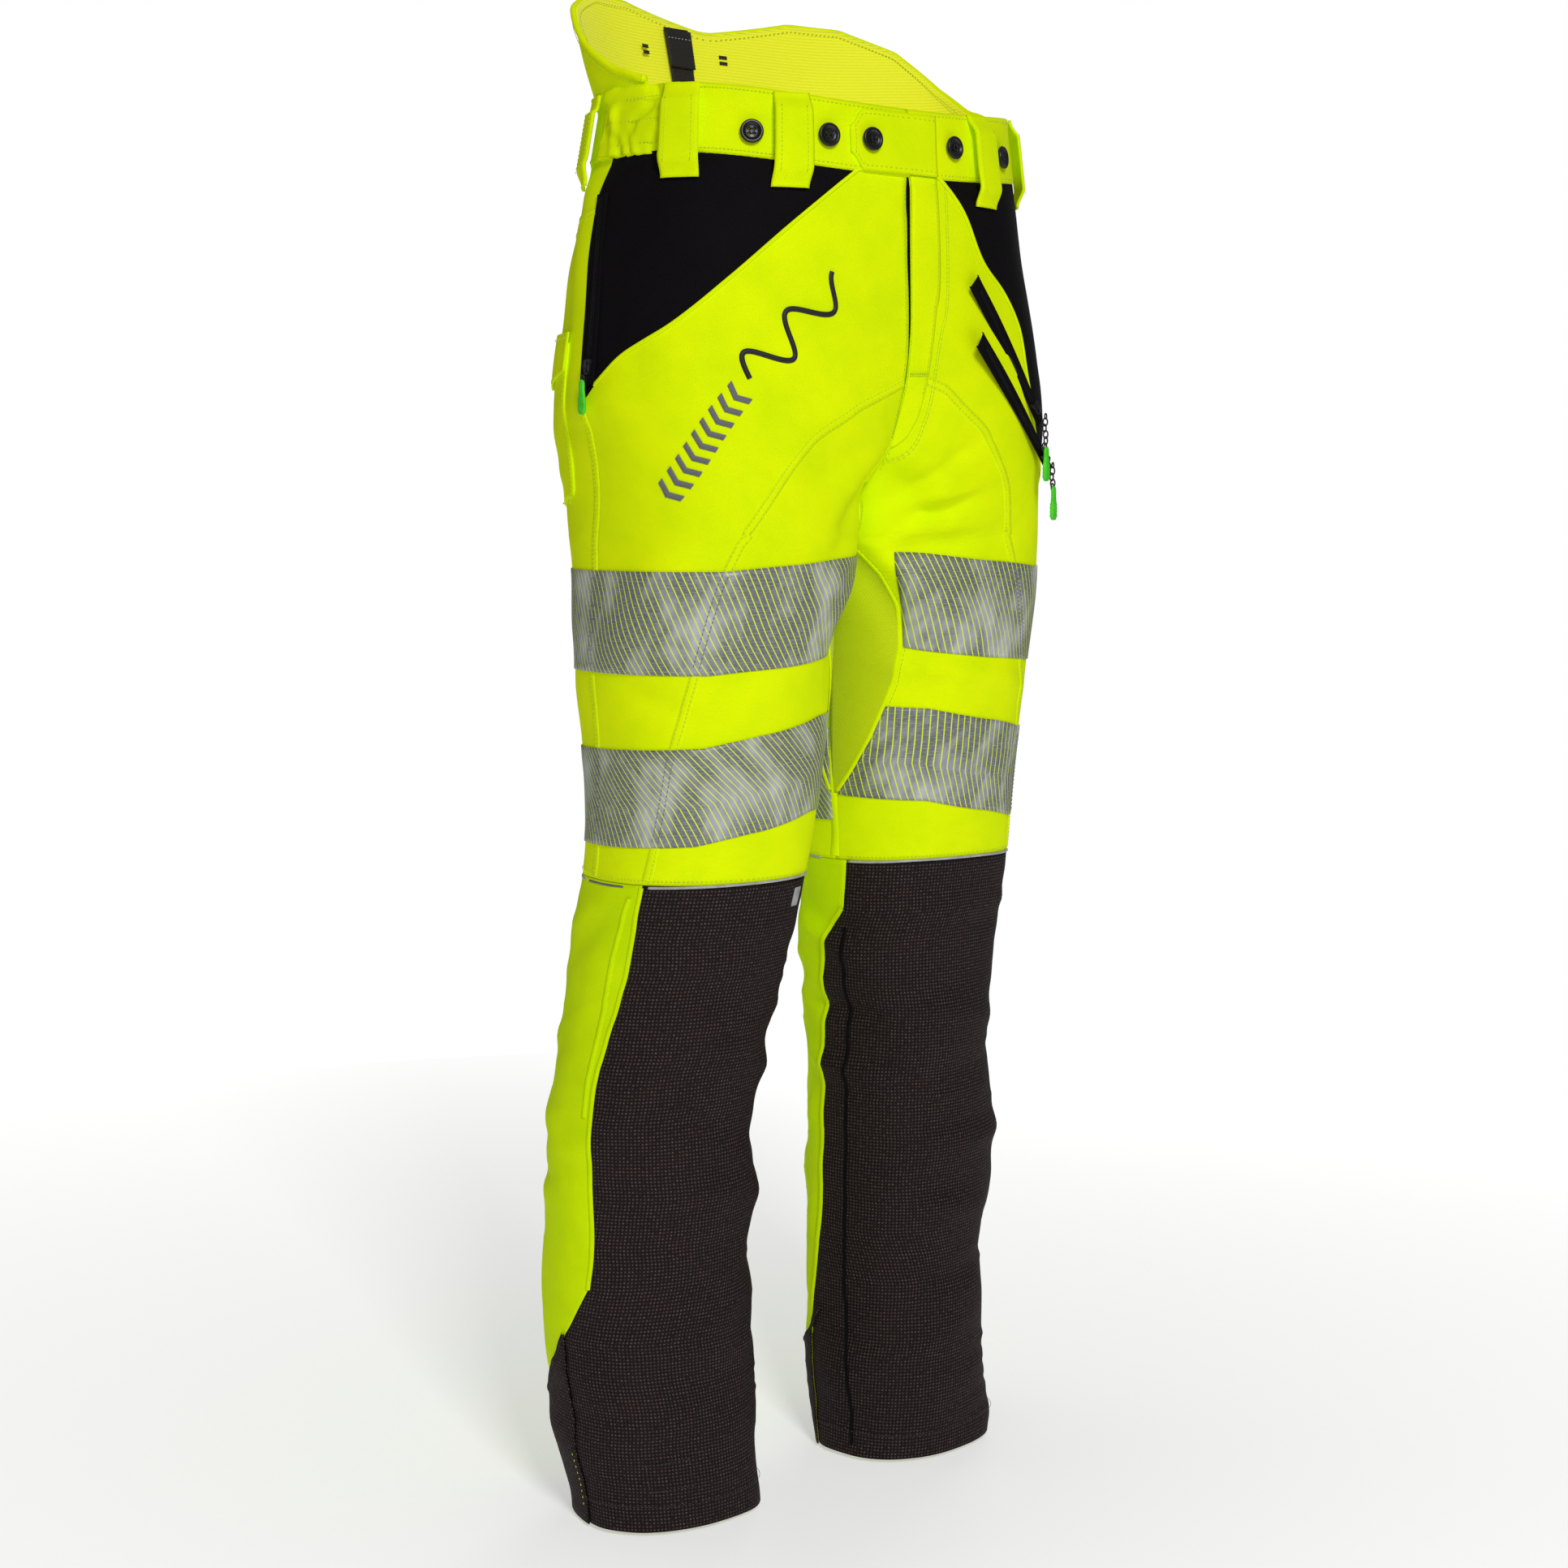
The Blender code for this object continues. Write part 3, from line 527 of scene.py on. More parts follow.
def stretch_black():
    """Black two-way stretch knit with a fine slanted rib and a little lint."""
    p = Paint("stretch_black_knit", specular=0.08)
    rib = p.waves(0.0012, turn=math.radians(24))
    cross = p.waves(0.0015, axis="Y")
    lint = p.speckle(0.0011, 2.0)
    base = p.mix(p.speckle(0.04, 2.0), linear(7, 5, 7), linear(14, 11, 14))
    base = p.mix(p.math("MULTIPLY", rib, p.between(lint, 0.45, 0.8, 0.0, 0.35)), base, linear(44, 40, 44))
    p.colour(base)
    p.roughness(lint, 0.70, 0.92)
    p.bump(rib, 0.00014, 0.5)
    p.bump(cross, 0.00010, 0.4)
    return p.made


def reflective_tape():
    """Segmented silver film on yellow: slanted yellow lines, fine ribs and scuffed, brighter patches."""
    p = Paint("reflective_tape", specular=0.25)
    slant = p.waves(0.0051, turn=math.radians(-27), saw=True)
    edge = p.math("MULTIPLY", p.between(slant, 0.79, 0.83), p.between(slant, 0.99, 0.95), True)
    rib = p.waves(0.0013, axis="Y", wobble=0.5)
    patch = p.speckle(0.034, 3.0, (1.0, 0.55, 1.0))
    scuff = p.speckle(0.0022, 3.0, (0.35, 1.6, 1.0))
    film = p.mix(p.between(patch, 0.47, 0.72), linear(112, 114, 120), linear(206, 208, 218))
    film = p.mix(p.math("MULTIPLY", rib, p.between(scuff, 0.40, 0.70)), film, linear(176, 178, 182))
    p.colour(p.mix(edge, film, linear(232, 252, 0)))
    p.link(p.between(edge, 0.0, 1.0, 0.20, 0.0), p.shader.inputs["Metallic"])
    p.roughness(scuff, 0.34, 0.60)
    p.bump(edge, 0.00008, 0.6)
    p.bump(rib, 0.00008, 0.5)
    return p.made


def mesh_cloth(name, thread, hole, pitch):
    """Open-knit lining or gusset cloth with small regular holes."""
    p = Paint(name, sheen=0.10, specular=0.2)
    a = p.waves(pitch, turn=math.radians(45))
    b = p.waves(pitch, turn=math.radians(-45))
    holes = p.math("MULTIPLY", a, b)
    base = p.mix(p.between(holes, 0.40, 0.85), linear(*thread), linear(*hole))
    p.colour(p.mix(p.between(p.speckle(0.03, 2.0), 0.3, 0.8, 0.0, 0.25), base, linear(*hole)))
    p.roughness(p.speckle(0.002), 0.70, 0.92)
    p.bump(p.math("SUBTRACT", 1.0, holes), 0.00030, 0.6)
    return p.made


def ribbed_lining():
    """Pale moisture lining with fine sideways ribs and a painted glow that lightens it."""
    p = Paint("ribbed_lining", sheen=0.15, specular=0.2)
    rib = p.waves(0.0026, axis="Y", wobble=0.15)
    fine = p.speckle(0.0014, 2.0)
    base = p.mix(p.between(rib, 0.1, 0.9), linear(226, 234, 20), linear(242, 246, 48))
    p.colour(p.mix(p.between(fine, 0.3, 0.8, 0.0, 0.3), base, linear(250, 252, 90)))
    p.roughness(fine, 0.70, 0.90)
    p.bump(rib, 0.00040, 0.8)
    # Painted light: the lining glows though it is no lamp, so that it looks brighter.
    p.painted_glow(linear(244, 244, 30), 0.20)
    return p.made


def webbing():
    """Black woven webbing."""
    p = Paint("webbing_black", sheen=0.05, specular=0.35)
    a = p.waves(0.0016, turn=math.radians(40))
    b = p.waves(0.0016, turn=math.radians(-40))
    weave = p.math("MAXIMUM", a, b)
    p.colour(p.mix(p.between(weave, 0.3, 1.0), linear(12, 11, 12), linear(38, 36, 38)))
    p.roughness(weave, 0.75, 0.5)
    p.bump(weave, 0.00030, 0.7)
    return p.made


def thread(name, colour):
    """Twisted sewing thread, painted darker in the grooves of its twist as shade."""
    p = Paint(name, sheen=0.10, specular=0.4)
    twist = p.waves(0.0006, turn=math.radians(35), solid=True)
    # Painted shade: the thread's own colour made darker in the grooves of the twist.
    dark = tuple(c * 0.72 for c in linear(*colour)[:3]) + (1.0,)
    p.colour(p.mix(twist, dark, linear(*colour)))
    p.roughness(twist, 0.60, 0.42)
    p.bump(twist, 0.00008, 0.6)
    return p.made


def moulded(name, low, high, roughness=(0.25, 0.45), grain=0.0009, depth=0.00003, specular=0.5, metallic=0.0):
    """Moulded plastic, rubber or painted metal with fine grain and slight wear."""
    p = Paint(name, metallic=metallic, specular=specular)
    speck = p.speckle(grain, 3.0, solid=True)
    cloud = p.speckle(0.012, 3.0, solid=True)
    p.colour(p.mix(p.between(cloud, 0.3, 0.75), linear(*low), linear(*high)))
    p.roughness(speck, *roughness)
    p.bump(speck, depth, 0.6)
    return p.made


def fibre_pad():
    """Quilted cover of the saw-protection pad."""
    p = Paint("pad_cover", sheen=0.2, specular=0.2)
    a = p.waves(0.0016, axis="X")
    b = p.waves(0.0016, axis="Y")
    fuzz = p.speckle(0.004, 4.0)
    p.colour(p.mix(p.between(fuzz, 0.3, 0.8), linear(206, 202, 190), linear(232, 229, 218)))
    p.roughness(fuzz, 0.80, 0.95)
    p.bump(p.math("MULTIPLY", a, b), 0.00025, 0.6)
    return p.made


YELLOW = hi_vis()
# The calf's stretch cloth with painted shade: a darker, greener yellow than the front, for the side of the leg away
# from the key light.
CALF_YELLOW_PAINTED_SHADE = hi_vis("hi_vis_calf_stretch_painted_shade", (206, 240, 0), (188, 228, 0), 0.05)
PALE_YELLOW = hi_vis("hi_vis_tape", (234, 254, 0), (220, 246, 0), 0.07)
CHARCOAL = charcoal_canvas()
BLACK = stretch_black()
SILVER = reflective_tape()
GUSSET = mesh_cloth("gusset_mesh", (206, 226, 0), (184, 204, 0), 0.0018)
INNER = mesh_cloth("leg_lining_mesh", (224, 228, 150), (160, 166, 96), 0.0026)
RIBBED = ribbed_lining()
WEBBING = webbing()
PIPING = moulded("piping_film", (150, 152, 154), (188, 190, 192), (0.35, 0.55), 0.0012, 0.00005)
# A darker copy of the piping film: painted shade for the run on the side of the knee.
PIPING_PAINTED_SHADE = moulded("piping_film_shaded", (84, 86, 90), (112, 114, 118), (0.35, 0.55), 0.0012, 0.00005)
YELLOW_THREAD = thread("thread_yellow", (226, 250, 0))
GREY_THREAD = thread("thread_grey", (128, 130, 134))
BLACK_THREAD = thread("thread_black", (22, 20, 24))
DARK_THREAD = thread("thread_dark_grey", (58, 50, 50))
PALE_THREAD = thread("thread_pale", (205, 205, 190))
BUTTON = moulded("button_gloss", (7, 7, 8), (18, 18, 20), (0.30, 0.42))
METAL = moulded("zip_slider_metal", (34, 34, 38), (64, 64, 70), (0.28, 0.46), 0.0006, 0.00003, 0.6, 0.75)
COIL = moulded("zip_coil_plastic", (10, 10, 11), (24, 24, 26), (0.6, 0.8), specular=0.2)
GREEN = moulded("pull_rubber_green", (58, 196, 14), (84, 232, 34), (0.38, 0.62), 0.0008, 0.00006)
PAD = fibre_pad()


# ---------------------------------------------------------------- mesh helpers
def added(name, data):
    """A new object in the scene."""
    made = bpy.data.objects.new(name, data)
    SCENE.collection.objects.link(made)
    return made


def make_object(name, points, faces, material, uv=None):
    mesh = bpy.data.meshes.new(name)
    mesh.vertices.add(len(points))
    mesh.vertices.foreach_set("co", np.asarray(points, np.float32).ravel())
    faces = np.asarray(faces, np.int32)
    corners = faces.shape[1]
    mesh.loops.add(faces.size)
    mesh.loops.foreach_set("vertex_index", faces.ravel())
    mesh.polygons.add(len(faces))
    mesh.polygons.foreach_set("loop_start", np.arange(len(faces), dtype=np.int32) * corners)
    mesh.update(calc_edges=True)
    if uv is not None:
        layer = mesh.uv_layers.new(name="cloth")
        layer.data.foreach_set("uv", np.asarray(uv, np.float32)[faces.ravel()].ravel())
    mesh.shade_smooth()
    mesh.materials.append(material)
    return added(name, mesh)


def joined(parts):
    """Several (points, faces) as one."""
    starts = np.cumsum([0] + [len(points) for points, _ in parts])
    return (np.concatenate([points for points, _ in parts]),
            np.concatenate([faces + start for (_, faces), start in zip(parts, starts)]))


def grid_faces(rows, columns, wrap=False):
    k = np.arange(rows - 1)[:, None] * columns
    c = np.arange(columns if wrap else columns - 1)[None, :]
    n = (c + 1) % columns
    return np.stack((k + c, k + n, k + columns + n, k + columns + c), -1).reshape(-1, 4)


def value(thing, at):
    return thing(at) if callable(thing) else np.full(np.shape(at), float(thing))


def place(sides, levels, s, t):
    """(w, z) at fractions s across and t down a patch whose limits may depend on each other."""
    z = np.full(s.shape, 0.5 * float(value(levels[0], 0.5) + value(levels[1], 0.5)))
    for _ in range(7):
        low, high = value(sides[0], z), value(sides[1], z)
        w = low + (high - low) * s
        top, bottom = value(levels[0], w), value(levels[1], w)
        z = top + (bottom - top) * t
    return w, z


# where the left leg's cloth starts and ends bending with the hip and with the knee
HIP_BEND = (np.array((0.05, 0.0, -0.305)), np.array((0.09, 0.0, -0.42)))
KNEE_BEND = (np.array((0.12, 0.0, -0.600)), np.array((0.13, 0.03, -0.800)))


def bend_ends(bend, left):
    """The two ends of a bend region, which is written for the left side."""
    return [tuple(np.array(p) * MIRROR[not left]) for p in bend]


def share(points, bend, left):
    """How far along a bend the points lie, 0 to 1."""
    start, end = np.array(bend_ends(bend, left))
    d = end - start
    return np.clip((points - start) @ d / (d @ d), 0.0, 1.0)


def attach(obj, left):
    """Ride on the body the cloth there follows, or bend between two where it crosses a joint."""
    thigh, shin = SIDE[left] + "_thigh", SIDE[left] + "_shin"
    co = np.array([v.co for v in obj.data.vertices])
    hip, knee = share(co, HIP_BEND, left), share(co, KNEE_BEND, left)
    if hip.max() < 0.001:
        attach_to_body(obj, "pelvis")
    elif hip.min() < 0.999:
        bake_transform(obj, "pelvis", thigh, *bend_ends(HIP_BEND, left))
    elif knee.max() < 0.001:
        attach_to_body(obj, thigh)
    elif knee.min() > 0.999:
        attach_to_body(obj, shin)
    else:
        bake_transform(obj, thigh, shin, *bend_ends(KNEE_BEND, left))


def finishes(obj, slot, *nodes):
    """Hide the CAD nodes the piece stands for; slot is not used."""
    if nodes:
        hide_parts(*nodes)


def cloth_uv(points, z, left, mirror_axis):
    """Texture places in metres: round the garment across, height up; never mirrored from outside."""
    steps = np.linalg.norm(np.diff(points, axis=1), axis=-1)
    across = np.concatenate((np.zeros((len(points), 1)), np.cumsum(steps, axis=1)), axis=1)
    across = across - across[:, mirror_axis:mirror_axis + 1]
    return np.stack((across if left else -across, z), -1).reshape(-1, 2)


def panel(name, sides, levels, material, lift=0.0, thick=0.0012, cell=0.004, left=False, inner=None,
          body=None):
    """A piece of cloth cut to limits in (w, z) and laid on the draped form."""
    probe = np.linspace(0.0, 1.0, 9)
    width, height = (np.linalg.norm(np.diff(surface(*place(sides, levels, s, t)), axis=0), axis=1).sum()
                     for s, t in ((probe, np.full(9, 0.5)), (np.full(9, 0.5), probe)))
    columns, rows = max(3, int(width / cell) + 2), max(3, int(height / cell) + 2)
    s, t = np.meshgrid(np.linspace(0, 1, columns), np.linspace(0, 1, rows))
    w, z = place(sides, levels, s, t)
    raised = lift(s, t, w, z) if callable(lift) else lift
    points = cloth(w, z, raised, left)[0]
    faces = grid_faces(rows, columns)[:, ::-1 if left else 1]
    uv = cloth_uv(points, z, left, columns // 2)
    made = make_object(name, points.reshape(-1, 3), faces, material, uv)
    made["cloth_size"] = (float(width), float(height))
    diagonals = points[1:, 1:] - points[:-1, :-1], points[1:, :-1] - points[:-1, 1:]
    made["cloth_area"] = float(np.linalg.norm(np.cross(*diagonals), axis=-1).sum() / 2.0)
    if thick:
        solid = made.modifiers.new("thickness", "SOLIDIFY")
        solid.thickness = thick
        solid.offset = -1.0
        if inner is not None:
            made.data.materials.append(inner)
            solid.material_offset = 1
    if body:
        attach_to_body(made, body)
    else:
        attach(made, left)
    return made


def declare(obj):
    """Works out the cut size of a cloth panel, the box round it and its own area, but keeps none of it."""
    width, height = obj["cloth_size"]
    area = obj["cloth_area"]
    wide = max(width, area / height * 1.02)
    area = min(max(area, 0.32 * wide * height), wide * height)


def sewn(name, sides, levels, material, slot, nodes="", rests="", held="stretched", **cut):
    """A panel that hides the nodes it stands for; where it rests on others, its cut size is worked out but not
    kept.

    In every name "@" stands for the side.
    """
    side = SIDE[cut.get("left", False)]
    made = panel(name.replace("@", side), sides, levels, material, **cut)
    finishes(made, slot, *nodes.replace("@", side).split())
    if rests:
        declare(made)


def resample(path, step=0.003):
    """Evenly spaced (w, z) places along a path given by a few of them."""
    path = np.asarray(path, float)
    metres = path * (ROUND, 1.0)
    run = np.concatenate(((0.0,), np.cumsum(np.linalg.norm(np.diff(metres, axis=0), axis=1))))
    if len(path) > 2:
        fine = np.linspace(0, run[-1], 12 * len(path))
        path = np.stack([curve_through(run, path[:, k], fine) for k in range(2)], -1)
        run = fine
    count = max(3, int(run[-1] / step) + 1)
    at = np.linspace(0.0, run[-1], count)
    return np.stack([np.interp(at, run, path[:, k]) for k in range(2)], -1)


def curve_through(x, y, at):
    """Smooth curve through points, without overshoot at sharp turns."""
    slope = np.gradient(y, x)
    k = np.clip(np.searchsorted(x, at, side="right") - 1, 0, len(x) - 2)
    step = x[k + 1] - x[k]
    return hermite((at - x[k]) / step, step, y[k], y[k + 1], slope[k], slope[k + 1])


def path_frame(path, left, lift=0.0):
    """Points, outward and sideways directions along a path on the cloth."""
    points, out = cloth(path[:, 0], path[:, 1], lift, left)
    run = unit(np.gradient(points, axis=0))
    return points, out, unit(np.cross(out, run)), run


def sweep(name, path, profile, material, left=False, closed=False, lift=0.0, step=0.003, body=None):
    """A strip or cord along a path: profile is (across, lift) in metres, or (R, 2) for each step."""
    path = resample(path, step)
    points, out, side, run = path_frame(path, left, lift)
    profile = np.asarray(profile, float)
    if profile.ndim == 2:
        profile = np.broadcast_to(profile, (len(points),) + profile.shape)
    mesh = points[:, None] + side[:, None] * profile[..., :1] + out[:, None] * profile[..., 1:]
    length = np.concatenate(((0.0,), np.cumsum(np.linalg.norm(np.diff(points, axis=0), axis=1))))
    columns = mesh.shape[1]
    uv = np.stack(np.broadcast_arrays(profile[..., 0], length[:, None]), -1).reshape(-1, 2)
    faces = grid_faces(len(points), columns, closed)
    turn = np.cross(mesh[1, 0] - mesh[0, 0], mesh[0, 1] - mesh[0, 0])
    facing = out[0] if not closed else mesh[0, 0] - mesh[0].mean(0)
    if turn @ facing > 0:
        faces = faces[:, ::-1]
    made = make_object(name, mesh.reshape(-1, 3), faces, material, uv)
    if closed:
        close_tube(made)
    if body:
        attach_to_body(made, body)
    else:
        attach(made, left)
    return made


def close_tube(obj, fill=True):
    """Close a tube's ends and make its faces point away from its middle."""
    bm = bmesh.new()
    bm.from_mesh(obj.data)
    if fill:
        bmesh.ops.holes_fill(bm, edges=[e for e in bm.edges if e.is_boundary], sides=0)
    bmesh.ops.recalc_face_normals(bm, faces=bm.faces)
    bm.to_mesh(obj.data)
    bm.free()


def ring(radius, lift, count=10, flat=1.0):
    a = np.linspace(0, 2 * math.pi, count, endpoint=False)
    return np.stack((np.cos(a) * radius, lift + np.sin(a) * radius * flat), -1)


def welt(width, height):
    """The low domed profile of a felled seam, tucked under at both edges."""
    h = width / 2.0
    return ((-h, -0.0003), (-h + 0.0003, height * 0.8), (0.0, height), (h - 0.0003, height * 0.8), (h, -0.0003))


def strip(name, path, profile=welt(0.0080, 0.0005), paint=YELLOW, slot="hi_vis_yellow", left=False,
          lift=0.0, **more):
    """A sweep; a felled seam unless told otherwise."""
    made = sweep(name.replace("@", SIDE[left]), path, profile, paint, left, lift=lift, **more)
    finishes(made, slot)


DASH = np.array(((-0.5, 0, -0.4), (-0.38, 0.5, 0.2), (-0.38, -0.5, 0.2), (-0.38, 0, 0.9),
                 (0.38, 0.5, 0.2), (0.38, -0.5, 0.2), (0.38, 0, 0.9), (0.5, 0, -0.4)))
DASH_FACES = np.array(((0, 1, 3), (0, 3, 2), (1, 4, 6), (1, 6, 3), (3, 6, 5), (3, 5, 2), (4, 7, 6), (6, 7, 5),
                       (0, 2, 5), (0, 5, 7), (0, 7, 4), (0, 4, 1)))


def dashes(points, out, side, run, length, width):
    """Thread dashes lying on the cloth at the given places."""
    base = (points[:, None] + run[:, None] * DASH[None, :, :1] * length
            + side[:, None] * DASH[None, :, 1:2] * width + out[:, None] * DASH[None, :, 2:] * width * 0.55)
    faces = (DASH_FACES[None] + (np.arange(len(points)) * 8)[:, None, None]).reshape(-1, 3)
    return base.reshape(-1, 3), faces


def stitches(name, paths, left=False, lift=0.0004, dash=(0.0034, 0.0024, 0.0007), offsets=(0.0,),
             paint=YELLOW_THREAD):
    """Rows of stitches along paths, as one object; dash is their pitch, length and width."""
    parts = []
    for path in paths:
        points, out, side, run = path_frame(resample(path, dash[0]), left, lift)
        parts += [dashes(points + side * offset, out, side, run, *dash[1:]) for offset in offsets]
    points, faces = joined(parts)
    made = make_object(name.replace("@", SIDE[left]), points, faces, paint, points[:, (0, 2)])
    attach(made, left)


# ---------------------------------------------------------------- stage, light and camera
def aimed(name, data, at, direction):
    """A light or camera at a place, looking along a direction."""
    made = added(name, data)
    made.location = at
    made.rotation_mode = "QUATERNION"
    made.rotation_quaternion = direction.to_track_quat("-Z", "Y")
    return made


def studio():
    """White surroundings: the world shows white and lights softly; a floor disc fades into it."""
    world = bpy.data.worlds.new("pale_world")
    world.use_nodes = True
    tree = world.node_tree
    shade = tree.nodes["Background"]
    shade.inputs["Color"].default_value = (1.0, 1.0, 1.0, 1.0)
    seen = tree.nodes.new("ShaderNodeLightPath")
    level = tree.nodes.new("ShaderNodeMapRange")
    tree.links.new(seen.outputs["Is Camera Ray"], level.inputs["Value"])
    level.inputs["To Min"].default_value = 0.20
    level.inputs["To Max"].default_value = 1.0
    tree.links.new(level.outputs["Result"], shade.inputs["Strength"])
    SCENE.world = world
    for name, at, size, power in (("key", (-1.3, -2.7, 1.3), (0.7, 1.1), 62.0),
                                  ("back_left", (2.4, 1.7, 0.6), (1.4, 2.2), 16.0),
                                  ("back_right", (-1.8, 2.3, 0.3), (1.4, 2.2), 2.0)):
        data = bpy.data.lights.new(name, "AREA")
        data.shape = "RECTANGLE"
        data.size, data.size_y = size
        data.energy = power
        aimed(name, data, at, Vector((0.0, 0.0, -0.5)) - Vector(at))
    floor = Paint("pale_floor", roughness=0.9, specular=0.05)
    floor.shader.inputs["Base Color"].default_value = (0.80, 0.80, 0.80, 1.0)
    floor.shader.inputs["Emission Color"].default_value = (1.0, 1.0, 1.0, 1.0)
    ball = floor.node("TexGradient", gradient_type="SPHERICAL")
    floor.link(floor.place(0.0, (0.55, 0.55, 0.55), solid=True), ball.inputs["Vector"])
    floor.link(floor.between(ball.outputs["Fac"], 0.0, 0.9, 0.70, 0.42), floor.shader.inputs["Emission Strength"])
    angle = np.linspace(0, 2 * math.pi, 65)[:-1]
    radius = np.array((0.0001, 0.5, 1.0, 1.8))
    points = np.stack((radius[:, None] * np.cos(angle), radius[:, None] * np.sin(angle),
                       np.zeros((4, 64))), -1).reshape(-1, 3)
    disc = make_object("floor_disc", points, grid_faces(4, 64, True)[:, ::-1], floor.made)
    disc.location = (0.0, 0.0, HEM_Z - 0.004)


def camera():
    """The photograph's view: from the wearer's right front, a little above the middle."""
    azimuth, elevation, distance = math.radians(-40.0), math.radians(6.0), 2.2
    aim = Vector((0.0, 0.0, -0.53))
    back = Vector((math.sin(azimuth) * math.cos(elevation), -math.cos(azimuth) * math.cos(elevation),
                   math.sin(elevation)))
    data = bpy.data.cameras.new("camera")
    data.sensor_width = 36.0
    data.lens = 61.5
    data.shift_x = -0.0155
    data.clip_start, data.clip_end = 0.05, 50.0
    SCENE.camera = aimed("camera", data, aim + back * distance, -back)


# ---------------------------------------------------------------- the cut of the trousers
FLY_TOP, FLY_BOTTOM = -0.055, -0.190
# (z, w) along edges that run down the garment; the keys False and True are the right and the left side
POCKET_EDGE = {False: ((-0.045, 0.064), (-0.088, 0.156), (-0.133, 0.255), (-0.168, 0.347), (-0.193, 0.440),
                       (-0.212, 0.488), (-0.226, SIDE_SEAM)),
               True: ((-0.045, 0.034), (-0.072, 0.079), (-0.115, 0.121), (-0.133, 0.158), (-0.158, 0.192),
                      (-0.203, 0.215), (-0.240, 0.262), (-0.275, 0.345), (-0.300, 0.430))}
HIP_TIP = {False: -0.2225, True: -0.285}
HIP_BACK = ((-0.045, 0.515), (-0.072, 0.532), (-0.120, 0.527), (-0.170, 0.520), (-0.205, 0.513), (-0.2225, 0.507))
SHIN_OUTER = ((-0.595, 0.404), (-0.662, 0.402), (-0.718, 0.414), (-0.750, 0.416), (-0.830, 0.403),
              (-0.900, 0.398), (-0.918, 0.404), (-0.963, 0.470), (-1.115, 0.474))
SHIN_INNER = ((-0.598, 0.016), (-0.634, 0.014), (-0.648, 0.000), (-0.664, -0.012), (-0.700, -0.022),
              (-0.760, -0.028), (-0.830, -0.032), (-0.920, -0.036), (-0.955, -0.046), (-1.018, -0.074),
              (-1.115, -0.080))
GUSSET_EDGE = ((-0.296, 0.000), (-0.302, 0.014), (-0.312, 0.030), (-0.333, 0.054), (-0.357, 0.086),
               (-0.383, 0.104), (-0.417, 0.105), (-0.443, 0.096), (-0.460, 0.083), (-0.490, 0.058),
               (-0.517, 0.029), (-0.535, 0.006))
LOWER_BAND_START = ((-0.460, 0.084), (-0.490, 0.059), (-0.517, 0.030), (-0.535, 0.008), (-0.560, 0.004))
UPPER_BAND_START = {False: 0.114, True: 0.110}
# (w, z) along seams and edges that run across or round
CUFF_TOP = ((0.466, -0.959), (0.525, -1.000), (0.62, -1.032), (0.74, -1.044), (0.84, -1.036),
            (0.93, -1.012), (0.960, -0.990))
THIGH_SEAM = {False: ((0.003, -0.208), (0.080, -0.226), (0.158, -0.253), (0.292, -0.318), (0.329, -0.362),
                      (0.354, -0.440), (0.380, -0.500), (0.398, -0.590)),
              True: ((0.003, -0.200), (0.062, -0.212), (0.140, -0.245), (0.221, -0.288), (0.267, -0.328),
                     (0.300, -0.400), (0.330, -0.480), (0.360, -0.590))}
# name, upper edge, depth, where the band ends round the leg
BANDS = (("upper", ((0.0, -0.338), (0.11, -0.339), (0.33, -0.352), (0.60, -0.352), (1.0, -0.340)), 0.078, 0.90),
         ("lower", ((0.0, -0.462), (0.15, -0.466), (0.33, -0.486), (0.60, -0.492), (1.0, -0.484)), 0.076, 0.998))
TWIN = (-0.0024, 0.0024)
QUILT_ROW = 0.034


def fly_edge(z):
    """The right front's inner edge, which stands off the centre line along the fly."""
    return 0.0001 + 0.0044 * np.clip((z - FLY_BOTTOM) / (FLY_TOP - FLY_BOTTOM), 0.0, 1.0)


def body_cloth(left):
    """One side's cloth: a yellow front and seat from waistband to knee, and the black hip panel."""
    levels = (lambda w: waist_bottom(w) + 0.004, THIGH_HEM_Z)
    sewn("@_front_cloth", (0.0002 if left else fly_edge, SIDE_SEAM), levels, YELLOW, "hi_vis_yellow",
         "@_front_panel @_thigh_front", "@_seat_cloth", left=left, inner=INNER)
    sewn("@_seat_cloth", (SIDE_SEAM, 0.9999), levels, YELLOW, "hi_vis_yellow", "@_seat_panel @_thigh_back",
         "@_front_cloth", left=left, inner=INNER)
    sewn("@_hip_cloth", (lambda z: line(POCKET_EDGE[left], z),
                         SIDE_SEAM - 0.001 if left else (lambda z: line(HIP_BACK, z))),
         (lambda w: waist_bottom(w) + 0.002, HIP_TIP[left]), BLACK, "stretch_black", "@_hip_panel",
         "@_front_cloth", lift=0.0006, thick=0.0010, left=left)


def bands(left):
    """Reflective tape round the thigh, from the gusset to the inseam."""
    for word, top, deep, last in BANDS:
        first = UPPER_BAND_START[left] if word == "upper" else (lambda z: line(LOWER_BAND_START, z))
        sewn("@_" + word + "_tape", (first, last), (lambda w: line(top, w), lambda w: line(top, w) - deep),
             SILVER, "reflective_silver", "@_" + word + "_band", "@_front_cloth @_seat_cloth",
             lift=0.0011, thick=0.0006, left=left)


